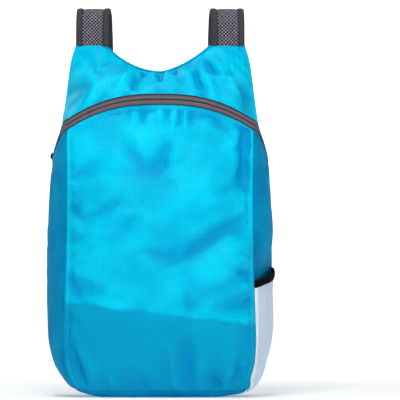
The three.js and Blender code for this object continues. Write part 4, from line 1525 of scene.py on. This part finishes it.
@dataclass
class Yoke:
    """The panel between the zip and the top edge, with the bound neckline."""

    columns: int = 220
    rows: int = 64
    cloth: float = 0.9
    binding: float = 1.5
    crumple: float = 0.45
    fold_scale: float = 1.65
    gather: float = 1.0
    settled: float = 0.7
    run: ClothRun = ClothRun(step=4, slack=0.03, pressure=1.6, limit=4.0, sway=10)

    def base_grid(self) -> tuple[Array, Array]:
        """The smooth yoke and its ways, with its foot on the zip's upper edge."""
        ways = np.linspace(-1.0, 1.0, self.columns + 1)
        shares = np.linspace(0.0, 1.0, self.rows + 1)
        a, v = np.meshgrid(ways, shares)
        base = FORM.yoke(a, v)
        base[0] = FORM.body(ways, FORM.zip_line(ways) + FORM.zip_half)
        return base, a

    def folds(self, base: Array, lengths: Array, a: Array) -> Array:
        """Height of the folds and large creases of the yoke."""
        u, up = lengths[..., 0], lengths[..., 1]
        down = up[-1:] - up
        edge = np.minimum(up, down)
        rise = base[..., 2] - base[:1, :, 2]
        placed = fold_height(base[..., 0], rise, YOKE_FOLDS)
        height = self.fold_scale * placed * smooth(up / 5.0) * smooth(down / 5.5)
        ridges = Crumple(41).ridged(u / 24.0, up / 36.0 + u / 80.0) - 0.5
        height += 1.2 * ridges * self.crumple * smooth(edge / 7.0)
        return height * smooth((1.0 - np.abs(a)) / 0.04)

    def sewing(self, base: Array, lengths: Array, a: Array) -> Array:
        """Height of the gathers at the neckline and the welt along the zip."""
        u, up = lengths[..., 0], lengths[..., 1]
        down = up[-1:] - up
        scooped = np.clip(1.0 - (np.abs(base[..., 0]) / FORM.neckline_half) ** 4, 0.0, 1.0)
        gathers = Crumple(47).at(u / 4.6, np.full_like(u, 1.5))
        height = self.gather * gathers * np.exp(-down / 8.0) * scooped * smooth(down / 3.0)
        height += 0.6 * Crumple(48).at(u / 6.0, np.full_like(u, 4.5)) * np.exp(-up / 8.0)
        height += 0.9 * np.exp(-(((up - 1.4) / 1.0) ** 2))
        height -= 1.1 * np.exp(-(((up - 4.2) / 1.8) ** 2))
        fine = Crumple(43).ridged(u / 10.0 + up / 40.0, up / 13.0) - 0.5
        height += 0.5 * fine * self.crumple * smooth(np.minimum(up, down) / 7.0)
        return height * smooth((1.0 - np.abs(a)) / 0.04) * smooth(down / 2.0)

    def build(self) -> None:
        """Builds the yoke, its stitching and the neckline's binding."""
        base, a = self.base_grid()
        lengths = cloth_lengths(base)
        shell = base + face_normals(base) * self.folds(base, lengths, a)[..., None]
        held = np.zeros(a.shape, dtype=bool)
        held[[0, -1]] = True
        held[:, [0, -1]] = True
        shell = shell + self.run.settle(shell, held) * self.settled
        # Tone for painted shade in the fold valleys and painted highlight on the crests
        tone = relief_tone(shell, base, 8, 2.6)
        shell = shell + face_normals(shell) * self.sewing(base, lengths, a)[..., None]
        piece = wall_object("top_yoke_cloth", shell, lengths, self.cloth, None, tone)
        place_piece(piece, BRIGHT_RIPSTOP, "top_yoke")
        normals = face_normals(shell)
        row = StitchRow("yoke_stitches")
        row.build(shell[2, 4:-4], normals[2, 4:-4], THREAD)
        self.neckline()

    def neckline(self) -> None:
        """Builds the narrow folded tape that binds the scooped edge."""
        left = (FORM.neckline_left - self.binding) / FORM.shoulder_half
        right = (FORM.neckline_half - self.binding) / FORM.shoulder_half
        a = np.linspace(-left, right, 160)
        top = FORM.top(a)
        ahead = unit(np.gradient(top, axis=0))
        out = np.stack([-ahead[:, 2], np.zeros(len(a)), ahead[:, 0]], axis=1)
        middle = top + out * (self.binding * 0.55)
        middle[:, 1] = FORM.back_face - FORM.wall
        ring = np.linspace(0.0, 2.0 * math.pi, 17)
        wobble = 1.0 + 0.07 * np.sin(np.arange(len(a)) * 0.9)[:, None]
        across = np.array([0.0, 1.0, 0.0])
        wide = np.cos(ring) * self.binding * 1.15
        grid = swept(middle, across, out, wide, np.sin(ring) * self.binding * wobble)
        place_piece(tube_object("neckline_binding_tape", grid), BOUND_RIPSTOP, "neckline_binding")


def tube_object(name: str, grid: Array) -> bpy.types.Object:
    """A closed tube from rings of points, whose last point repeats the first.

    Args:
        name: the object's name.
        grid: rings along the tube, in the bag's own millimetres.

    Returns:
        The object.
    """
    lengths = cloth_lengths(grid)
    rings, count = grid.shape[0], grid.shape[1] - 1
    order = np.arange(rings * count).reshape(rings, count)
    ahead = np.roll(order, -1, axis=1)
    faces = np.stack([order[:-1], ahead[:-1], ahead[1:], order[1:]], axis=2).reshape(-1, 4).tolist()
    first, last = rings * count, rings * count + 1
    for i in range(count):
        faces.append([first, int(ahead[0, i]), int(order[0, i])])
        faces.append([last, int(order[-1, i]), int(ahead[-1, i])])
    open_grid = grid[:, :-1]
    ends = open_grid[[0, -1]].mean(axis=1)
    points = np.concatenate([open_grid.reshape(-1, 3), ends]) + SHIFT
    flat = np.concatenate([lengths[:, :-1].reshape(-1, 2), lengths[:1, 0], lengths[-1:, 0]])
    return mesh_object(name, points, faces, flat)


@dataclass
class BackPanel:
    """The plain back of the bag, with its top edge scooped like the yoke's."""

    columns: int = 110
    rows: int = 150
    cloth: float = 1.0

    def build(self) -> None:
        """Builds the panel with its soft creases and edge puckers."""
        ways = np.linspace(1.0, -1.0, self.columns + 1)
        shares = np.linspace(0.0, 1.0, self.rows + 1) ** 1.05
        a, t = np.meshgrid(ways, shares)
        z = mix(2 * FORM.seam_gap, FORM.top(ways)[None, :, 2], t)
        x = a * FORM.back_seam_half(z)
        crown = FORM.back_crown * (1.0 - a**4) * np.sin(np.pi * t) ** 0.7
        base = np.stack([x, FORM.back_face + crown, z], axis=2)
        lengths = cloth_lengths(base)
        u, v = lengths[..., 0], lengths[..., 1]
        side = (1.0 - np.abs(a)) * FORM.shoulder_half
        edge = np.minimum(np.minimum(side, v), v[-1:] - v)
        wide = Crumple(61).ridged(u / 44.0, v / 52.0) - 0.5
        fine = Crumple(63).ridged(u / 15.0, v / 17.0) - 0.5
        run = np.where(side < v, v, u)
        wave = Crumple(65).at(run / 6.0, np.full_like(run, 2.5))
        height = (2.0 * wide + 0.6 * fine) * smooth(edge / 20.0)
        height += 0.6 * wave * np.exp(-edge / 9.0) * smooth(edge / 2.0)
        outer = base + face_normals(base) * height[..., None]
        inner = base - np.array([0.0, FORM.wall, 0.0])
        piece = wall_object("back_panel_cloth", outer, lengths, self.cloth, inner)
        place_piece(piece, BRIGHT_RIPSTOP, "back_panel")


@dataclass
class ZipArch:
    """The zip over the top of the front: two woven tapes, the coil between and its slider."""

    columns: int = 420
    tape_rows: int = 8
    bulge: float = 0.9
    cord: float = 0.6
    cord_lift: float = 0.45
    tooth_pitch: float = 1.9
    slider_share: float = 0.915
    slider_length: float = 7.6
    slider_half_width: float = 3.0
    slider_half_height: float = 2.6
    pull_length: float = 9.0
    pull_half_height: float = 0.55

    def grid(self, low: float, high: float, rows: int) -> tuple[Array, Array]:
        """Points of a strip along the zip and its lengths."""
        ways = np.linspace(-1.0, 1.0, self.columns + 1)
        offsets = np.linspace(low, high, rows + 1)
        a, off = np.meshgrid(ways, offsets)
        points = FORM.body(a, FORM.zip_line(a) + off)
        return points, cloth_lengths(points)

    def build(self) -> None:
        """Builds both tapes, the coil, the teeth, the dark cords of painted shadow and the slider."""
        inner_edge = FORM.coil_width / 2 - 0.25
        for name, low, high in (
            ("zipper_tape_lower", -FORM.zip_half, -inner_edge),
            ("zipper_tape_upper", inner_edge, FORM.zip_half),
        ):
            points, lengths = self.grid(low, high, self.tape_rows)
            share = np.linspace(0.0, 1.0, self.tape_rows + 1)[:, None]
            near_coil = share if low < 0 else 1.0 - share
            lift = self.bulge * np.sin(np.pi * np.clip(near_coil, 0.0, 1.0) ** 1.6) + 0.1
            outer = points + face_normals(points) * (lift - 0.5 * (1.0 - near_coil))[..., None]
            turned = lengths[..., ::-1]
            piece = wall_object(f"{name}_weave", outer, turned, 0.8)
            place_piece(piece, ZIP_TAPE, name)
        points, lengths = self.grid(-inner_edge - 0.4, inner_edge + 0.4, 3)
        sunk = points - face_normals(points) * 0.5
        piece = wall_object("zipper_coil_bed", sunk, lengths, 0.6)
        place_piece(piece, COIL, "zipper_coil")
        self.teeth()
        # Painted shadow lines along both edges of the zip
        self.piping("upper", FORM.zip_half + 0.1)
        self.piping("lower", -FORM.zip_half - 0.1)
        self.slider()

    def piping(self, word: str, offset: float) -> None:
        """Lays a thin dark cord along one edge of the zip, as a painted shadow line."""
        ways = np.linspace(-0.997, 0.997, 360)
        line = FORM.body(ways, FORM.zip_line(ways) + offset)
        normals = self.normals(ways)
        up = np.cross(normals, unit(np.gradient(line, axis=0)))
        ring = np.linspace(0.0, 2.0 * math.pi, 9)
        middle = line + normals * self.cord_lift
        grid = swept(middle, up, normals, np.cos(ring) * self.cord, np.sin(ring) * self.cord)
        place_piece(tube_object(f"zipper_piping_{word}", grid[:, ::-1]), ZIP_SHADOW_CORD)

    def teeth(self) -> None:
        """Lays the coil's turns side by side along the zip's middle line."""
        ways = np.linspace(-0.985, 0.985, 700)
        line = FORM.body(ways, FORM.zip_line(ways))
        normals = self.normals(ways)
        row = StitchRow("zipper_coil_turns", 1.1, self.tooth_pitch, 0.55)
        row.build(line - normals * 0.1, normals, COIL)

    def normals(self, ways: Array) -> Array:
        """Outward normals of the body along the zip's middle line."""
        line, near, above = FORM.zip_line(ways), 0.004, 0.5
        ahead = FORM.body(np.clip(ways + near, -1, 1), line) - FORM.body(np.clip(ways - near, -1, 1), line)
        up = FORM.body(ways, line + above) - FORM.body(ways, line - above)
        return unit(np.cross(ahead, up))

    def slider(self) -> None:
        """Builds the small slider at the left end of the zip and its pull, which lies flat."""
        way = -mix(FORM.seam_share, 1.0, self.slider_share)
        ways = np.array([way - 0.02, way, way + 0.02])
        before, at, after = FORM.body(ways, FORM.zip_line(ways))
        out = self.normals(ways)[1]
        along = before - after
        along = unit(along - out * along.dot(out))
        up = np.cross(out, along)
        ring = np.linspace(0.0, 2.0 * math.pi, 25)
        stations = np.linspace(-1.0, 1.0, 15)
        fat = np.clip(1.0 - np.abs(stations) ** 3.5, 0.02, 1.0) ** 0.5
        waist = 1.0 - 0.16 * np.cos(stations * math.pi)
        middle = at + out * 1.6 + along * (stations * self.slider_length / 2)[:, None]
        wide = np.cos(ring) * (fat * waist)[:, None] * self.slider_half_width
        grid = swept(middle, up, out, wide, np.sin(ring) * fat[:, None] * self.slider_half_height)
        place_piece(tube_object("zipper_slider_body", grid[:, ::-1]), SLIDER_LACQUER, "zipper_slider")
        reach = np.linspace(0.0, 1.0, 12)
        width = 1.7 * np.clip(1.0 - np.abs(2.0 * reach - 1.0) ** 6, 0.03, 1.0) ** 0.5
        start = at + along * 1.5 + out * 2.4
        middle = start + along * (reach * self.pull_length)[:, None] - out * (2.1 * reach**0.6)[:, None]
        grid = swept(middle, up, out, np.cos(ring) * width[:, None], np.sin(ring) * self.pull_half_height)
        place_piece(tube_object("zipper_slider_pull", grid[:, ::-1]), SLIDER_LACQUER)


@dataclass
class SidePocket:
    """The mesh pocket on the right gusset with the elastic at its mouth."""

    columns: int = 60
    rows: int = 80
    bulge: float = 8.6
    mesh_wall: float = 1.0
    elastic_wall: float = 2.0
    elastic_width: float = 8.6
    hem_share: float = 0.024

    def mouth(self, q: Array) -> Array:
        """Height of the mouth at a share of the way back."""
        return mix(FORM.pocket_front, FORM.pocket_rear, q)

    def skin(self, a: Array, z: Array, lift: float) -> Array:
        """Outer face of the filled pocket."""
        points = FORM.body(a, z)
        normals = face_normals(points)
        q = FORM.gusset_share(a)
        share = np.clip((z - FORM.band_height) / (1.7 * FORM.pocket_rear), 0.0, 1.0)
        filled = np.sqrt(np.sin(np.pi * share))
        belly = self.bulge * np.clip(np.sin(np.pi * q), 0.0, 1.0) ** 0.6 * filled
        sewn = smooth(np.minimum(q, 1.0 - q) / 0.05)
        return points + normals * (belly + mix(0.5, lift, sewn))[..., None]

    def build(self) -> None:
        """Builds the mesh, its hem and the elastic."""
        s = FORM.seam_share
        ways = np.linspace(s + 0.002, 0.996, self.columns + 1)
        shares = np.linspace(0.0, 1.0, self.rows + 1) ** 1.2
        a, t = np.meshgrid(ways, shares)
        q = FORM.gusset_share(a)
        z = mix(FORM.band_height, self.mouth(q) - self.elastic_width + 1.0, t)
        base = self.skin(a, z, self.mesh_wall + FORM.seam_gap)
        lengths = cloth_lengths(base)
        u, v = lengths[..., 0], lengths[..., 1]
        edge = np.minimum((q * 100.0), (1.0 - q) * 100.0)
        soft = Crumple(71).ridged(u / 16.0 + v / 90.0, v / 70.0) - 0.5
        wave = Crumple(73).at(u / 7.0, np.full_like(u, 2.0))
        height = 3.4 * soft * smooth(edge / 20.0)
        height += 0.5 * wave * np.exp(-(v[-1:] - v) / 12.0) * smooth(edge / 10.0)
        outer = base + face_normals(base) * height[..., None]
        piece = wall_object("pocket_mesh_cloth", outer, lengths, self.mesh_wall)
        place_piece(piece, PALE_MESH, "pocket_mesh")
        self.hem()
        self.elastic(ways)

    def hem(self) -> None:
        """Builds the narrow pale tape that binds the mesh along the front seam."""
        s = FORM.seam_share
        low, high = FORM.band_height + 4.0, FORM.pocket_front - self.elastic_width
        a, z = np.meshgrid(
            np.linspace(s + 0.002, s + 0.002 + self.hem_share, 7), np.linspace(low, high, 90)
        )
        base = self.skin(a, z, self.mesh_wall + FORM.seam_gap)
        lengths = cloth_lengths(base)
        swell = 0.9 * np.sqrt(np.clip(np.sin(np.pi * np.linspace(0.0, 1.0, 7)), 0.0, 1.0)) + 0.5
        wave = 0.15 * Crumple(79).at(lengths[..., 1] / 5.0, np.full_like(z, 3.0))
        outer = base + face_normals(base) * (swell + wave)[..., None]
        piece = wall_object("pocket_front_hem", outer, lengths, 0.8)
        place_piece(piece, PALE_TAPE)

    def elastic(self, ways: Array) -> None:
        """Builds the rounded elastic band over the mesh's top edge."""
        rows = 14
        share = np.linspace(0.0, 1.0, rows + 1)
        a, t = np.meshgrid(ways, share)
        q = FORM.gusset_share(a)
        z = self.mouth(q) - self.elastic_width * (1.0 - t)
        base = self.skin(a, z, self.elastic_wall + FORM.seam_gap)
        lengths = cloth_lengths(base)
        round_edge = 0.7 * np.sqrt(np.clip(np.sin(np.pi * t), 0.0, 1.0))
        wave = 0.25 * Crumple(75).at(lengths[..., 0] / 4.0, np.full_like(q, 1.0))
        outer = base + face_normals(base) * (round_edge + wave - 0.3)[..., None]
        piece = wall_object("pocket_elastic_band", outer, lengths, self.elastic_wall)
        place_piece(piece, ELASTIC, "pocket_elastic")


@dataclass
class ShoulderStrap:
    """A padded strap of spacer mesh between two edge tapes, with webbing at its lower end."""

    side: Side
    centre: float = 82.0
    width: float = 40.0
    tape_width: float = 8.0
    pad: float = 4.0
    tape: float = 5.0
    rise: float = 41.0
    standoff: float = 48.0
    tuck: float = 2.2
    steps: int = 200

    def route(self) -> Array:
        """Middle line of the strap from its shoulder seam to its lower end."""
        controls = []
        for p in STRAP_ROUTE:
            reach = self.rise if p.height > 0 else FORM.height
            x = self.side.value * (self.centre - p.inward * self.width)
            y = FORM.back_face + p.behind * self.standoff
            controls.append((x, y, FORM.height + FORM.seam_gap + p.height * reach))
        line = spline(np.array(controls), self.steps)
        foot = line[0] - np.array([0.0, 0.0, self.tuck])
        return np.concatenate([foot[None], line])

    def strip(self, low: float, high: float, thickness: float, crown: float, edge: float) -> Array:
        """Rings of a long soft strip.

        Args:
            low: near side of the strip, across the strap.
            high: far side.
            thickness: thickness of the strip.
            crown: how far its faces swell in the middle.
            edge: how round its edges are, from 0 to 1.

        Returns:
            Grid of rings, the last point of each on its first.
        """
        line = self.route()
        across, face = strip_frames(line)
        power = mix(0.28, 1.0, edge)
        c, s = squared_ring(33, power, power)
        half, middle = (high - low) / 2, (high + low) / 2
        thick = (thickness / 2 + crown * (1.0 - c**2)) * s
        return swept(line, across, face, middle + half * c, thick)

    def build(self) -> None:
        """Builds the pad, both tapes and their stitches."""
        half = self.width / 2
        seam = half - self.tape_width
        label = self.side.label
        pad = self.strip(-seam - 0.6, seam + 0.6, self.pad - 1.0, 0.5, 0.25)
        piece = tube_object(f"strap_pad_{label}", pad)
        place_piece(piece, AIR_MESH, f"strap_mesh_{label}")
        inner = "inner" if self.side is Side.LEFT else "outer"
        outer = "outer" if self.side is Side.LEFT else "inner"
        for name, low, high in ((outer, -half, -seam), (inner, seam, half)):
            tape = self.strip(low, high, self.tape - 0.8, 0.35, 0.45)
            piece = tube_object(f"strap_tape_{name}_{label}", tape)
            place_piece(piece, EDGE_TAPE, f"strap_binding_{name}_{label}")
        self.stitches(seam)

    def stitches(self, seam: float) -> None:
        """Sews a row along the inner edge of each tape, on the outer face of the strap."""
        line = self.route()
        across, face = strip_frames(line)
        for sign in (-1.0, 1.0):
            for over in (-1.0, 1.0):
                at = line + across * sign * (seam + 1.6) + face * over * (self.tape / 2 - 0.15)
                word = "front" if over < 0 else "back"
                place = "a" if sign < 0 else "b"
                row = StitchRow(f"strap_stitches_{self.side.label}_{word}_{place}", 2.2, 3.2, 0.3)
                row.build(at, face * over, DARK_THREAD)


def spline(points: Array, count: int) -> Array:
    """A smooth centripetal curve through points, read at even steps of its own knots.

    Args:
        points: the points that it passes.
        count: how many steps it is read in.

    Returns:
        Points along it, evenly spaced by length.
    """
    padded = np.concatenate([[2 * points[0] - points[1]], points, [2 * points[-1] - points[-2]]])
    fine = []
    for i in range(1, len(padded) - 2):
        p0, p1, p2, p3 = padded[i - 1 : i + 3]
        t1 = np.linalg.norm(p1 - p0) ** 0.5
        t2 = t1 + np.linalg.norm(p2 - p1) ** 0.5
        t3 = t2 + np.linalg.norm(p3 - p2) ** 0.5
        t = np.linspace(t1, t2, 40, endpoint=i == len(padded) - 3)[:, None]
        a1 = (t1 - t) / t1 * p0 + t / t1 * p1
        a2 = (t2 - t) / (t2 - t1) * p1 + (t - t1) / (t2 - t1) * p2
        a3 = (t3 - t) / (t3 - t2) * p2 + (t - t2) / (t3 - t2) * p3
        b1 = (t2 - t) / t2 * a1 + t / t2 * a2
        b2 = (t3 - t) / (t3 - t1) * a2 + (t - t1) / (t3 - t1) * a3
        fine.append((t2 - t) / (t2 - t1) * b1 + (t - t1) / (t2 - t1) * b2)
    line = np.concatenate(fine)
    steps = np.linalg.norm(np.diff(line, axis=0), axis=1)
    along = np.concatenate([[0.0], np.cumsum(steps)])
    even = np.linspace(0.0, along[-1], count + 1)
    return np.stack([np.interp(even, along, line[:, k]) for k in range(3)], axis=1)


def loop_object(name: str, grid: Array) -> bpy.types.Object:
    """A closed ring of rings, such as a moulded frame round a window."""
    rings, count = grid.shape[:2]
    order = np.arange(rings * count).reshape(rings, count)
    ahead = np.roll(order, -1, axis=1)
    further = np.roll(order, -1, axis=0)
    both = np.roll(further, -1, axis=1)
    faces = np.stack([order, ahead, both, further], axis=2).reshape(-1, 4)
    return mesh_object(name, grid.reshape(-1, 3) + SHIFT, faces.tolist())


def rounded_rectangle(half_width: float, low: float, high: float, radius: float) -> Array:
    """Points round a rectangle with round corners, anticlockwise and evenly spaced by angle."""
    points = []
    for cx, cy, start in (
        (half_width - radius, high - radius, 0.0),
        (-half_width + radius, high - radius, 0.5),
        (-half_width + radius, low + radius, 1.0),
        (half_width - radius, low + radius, 1.5),
    ):
        for angle in np.linspace(start, start + 0.5, 9) * math.pi:
            points.append((cx + radius * math.cos(angle), cy + radius * math.sin(angle)))
    return np.array(points)


@dataclass
class LowerEnd:
    """The lower end of a strap: webbing loop, moulded adjuster, webbing and sewn corner tab."""

    strap: ShoulderStrap
    bar_top: float = 3.5
    bar: float = 4.4
    adjuster_width: float = 27.0
    adjuster_length: float = 24.0
    adjuster_thickness: float = 3.0
    webbing_width: float = 20.0
    webbing_thickness: float = 1.4
    tail: float = 62.0
    tab: float = 30.0
    tab_inset: float = 20.0
    swing: float = 3.0

    @property
    def clearance(self) -> float:
        """From the middle of a bar to the middle of the webbing round it."""
        return self.adjuster_thickness / 2 + FORM.seam_gap + self.webbing_thickness / 2

    @property
    def tab_face(self) -> float:
        """How far the tab's outer face stands behind the back panel."""
        return FORM.back_crown / 2 + FORM.wall + FORM.seam_gap

    def directions(self) -> tuple[Array, Array, Array, Array]:
        """The strap's end, the way on down it, across it and out of its face."""
        line = self.strap.route()
        down = unit(line[-1] - line[-3])
        across = unit(np.array([1.0, 0.0, 0.0]) - down * down[0])
        return line[-1], down, across, np.cross(across, down)

    def place(self, along: float, off: float) -> Array:
        """A point so far on down from the strap's end and so far off its face."""
        at, down, _, face = self.directions()
        return at + down * along + face * off

    def turn(self, bar_end: float, towards: float) -> list[Array]:
        """Middle points of the webbing as it turns round a bar."""
        made = []
        for angle in np.linspace(0.0, math.pi, 7):
            along = bar_end + towards * self.clearance * math.sin(angle)
            made.append(self.place(along, self.clearance * math.cos(angle)))
        return made

    def tab_middle(self) -> Array:
        """Middle of the corner tab on the face of the back panel."""
        half = float(FORM.back_seam_half(np.array(self.tab_inset)))
        x = self.strap.side.value * (half - self.tab / 2 - 2 * FORM.wall)
        return np.array([x, FORM.back_face, self.tab_inset + self.tab / 2])

    def ribbon(self, name: str, points: Sequence[Array], steps: int, node: str) -> None:
        """Builds a flat woven ribbon with rounded edges along points.

        Args:
            name: the piece's name.
            points: middle points of the ribbon.
            steps: how many rings it has.
            node: the solid that it stands for.
        """
        line = spline(np.array(points), steps)
        across, face = strip_frames(line)
        c, s = squared_ring(29, 0.35, 0.5)
        wave = 1.0 + 0.012 * Crumple(83).at(np.arange(len(line)) / 5.0, np.full(len(line), 2.0))
        wide = c * self.webbing_width / 2 * wave[:, None]
        grid = swept(line, across, face, wide, s * self.webbing_thickness / 2)
        place_piece(tube_object(name, grid), WEBBING, node)

    def adjuster(self) -> None:
        """Builds the moulded frame with its rounded bars."""
        at, down, across, face = self.directions()
        outer = rounded_rectangle(self.adjuster_width / 2, 0.0, self.adjuster_length, 3.2)
        inside = self.webbing_width / 2 + FORM.seam_gap + 0.5
        inner = rounded_rectangle(inside, self.bar, self.adjuster_length - self.bar, 0.8)
        c, s = squared_ring(21, 0.6, 0.6)
        flat = (outer + inner)[:, None] / 2 + (outer - inner)[:, None] / 2 * c[:-1, None]
        grid = (
            at
            + down * self.bar_top
            + across * flat[..., :1]
            + down * flat[..., 1:]
            + face * (s * self.adjuster_thickness / 2)[:-1, None]
        )
        label = self.strap.side.label
        piece = loop_object(f"strap_adjuster_frame_{label}", grid)
        place_piece(piece, ACETAL, f"strap_adjuster_{label}")

    def corner_tab(self) -> None:
        """Builds the sewn square of cloth that holds the webbing, and its stitches."""
        middle = self.tab_middle()
        half = self.tab / 2
        shares = np.linspace(-1.0, 1.0, 41)
        across, up = np.meshgrid(-shares, shares)
        rim = np.maximum(np.abs(across), np.abs(up))
        swell = self.tab_face - 1.3 * rim**6 - 0.35 * np.exp(-(((rim - 0.86) / 0.05) ** 2))
        swell += 0.2 * Crumple(87).at(across * 5.0 + 9.0, up * 5.0 + 9.0)
        points = middle + np.stack([across * half, swell, up * half], axis=2)
        lengths = cloth_lengths(points)
        label = self.strap.side.label
        piece = wall_object(f"corner_tab_cloth_{label}", points, lengths, 1.1)
        place_piece(piece, SHADED_RIPSTOP, f"corner_tab_{label}")
        self.tab_stitches(middle)

    def tab_stitches(self, middle: Array) -> None:
        """Sews the webbing's end to the tab with a box and a cross."""
        lift = self.tab_face + FORM.seam_gap + self.webbing_thickness
        half = self.webbing_width / 2 - 2.5
        low, high = -self.tab / 4 + 1.5, self.tab / 3 - 2.0
        corners = ((-half, low), (half, low), (half, high), (-half, high))
        rows = [(corners[i], corners[(i + 1) % 4]) for i in range(4)]
        rows += [(corners[0], corners[2]), (corners[1], corners[3])]
        for number, (first, last) in enumerate(rows):
            share = np.linspace(0.0, 1.0, 12)[:, None]
            flat = mix(np.array(first), np.array(last), share)
            at = middle + np.stack([flat[:, 0], np.full(12, lift), flat[:, 1]], axis=1)
            out = np.tile([0.0, 1.0, 0.0], (12, 1))
            row = StitchRow(f"corner_stitches_{self.strap.side.label}_{number}", 1.8, 2.6, 0.28)
            row.build(at, out, DARK_THREAD)

    def build(self) -> None:
        """Builds loop, adjuster, webbing and tab."""
        label = self.strap.side.label
        start = FORM.seam_gap
        loop = [self.place(start, self.clearance)]
        loop += self.turn(self.bar_top + self.bar, 1.0)
        loop.append(self.place(start, -self.clearance))
        self.ribbon(f"strap_loop_band_{label}", loop, 60, f"strap_loop_{label}")
        clear = self.bar_top + self.adjuster_length + 1.0
        turned = [self.place(clear, self.clearance)]
        turned += self.turn(self.bar_top + self.adjuster_length - self.bar, -1.0)
        turned.append(self.place(clear, -self.clearance))
        sewn = self.tab_middle()
        lift = self.tab_face + FORM.seam_gap + self.webbing_thickness / 2
        landing = sewn + np.array([0.0, lift, self.tab / 3])
        end = sewn + np.array([0.0, lift, -self.tab / 4])
        swing = np.array([0.0, self.swing, 0.0])
        run = [mix(turned[-1], landing, share) + swing for share in (0.3, 0.6)]
        tail = turned[0] + np.array([0.0, 10.0, -self.tail])
        middle = (turned[0] + tail) / 2 + swing
        route = [tail, middle, *turned, *run, landing, end]
        self.ribbon(f"strap_webbing_band_{label}", route, 260, f"strap_webbing_{label}")
        self.adjuster()
        self.corner_tab()


def main() -> None:
    """Builds the studio and every part of the bag, and reports each."""
    logging.basicConfig(level=logging.INFO, format="%(name)s: %(message)s")
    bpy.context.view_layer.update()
    Studio().build()
    straps = [ShoulderStrap(side) for side in Side]
    parts: Sequence[tuple[str, Any]] = (
        ("body", Body()),
        ("yoke", Yoke()),
        ("back", BackPanel()),
        ("zip", ZipArch()),
        ("pocket", SidePocket()),
        ("left strap", straps[0]),
        ("right strap", straps[1]),
        ("left lower end", LowerEnd(straps[0])),
        ("right lower end", LowerEnd(straps[1])),
    )
    for name, part in parts:
        part.build()
        log.info("%s built", name)


if __name__ == "__main__":
    main()
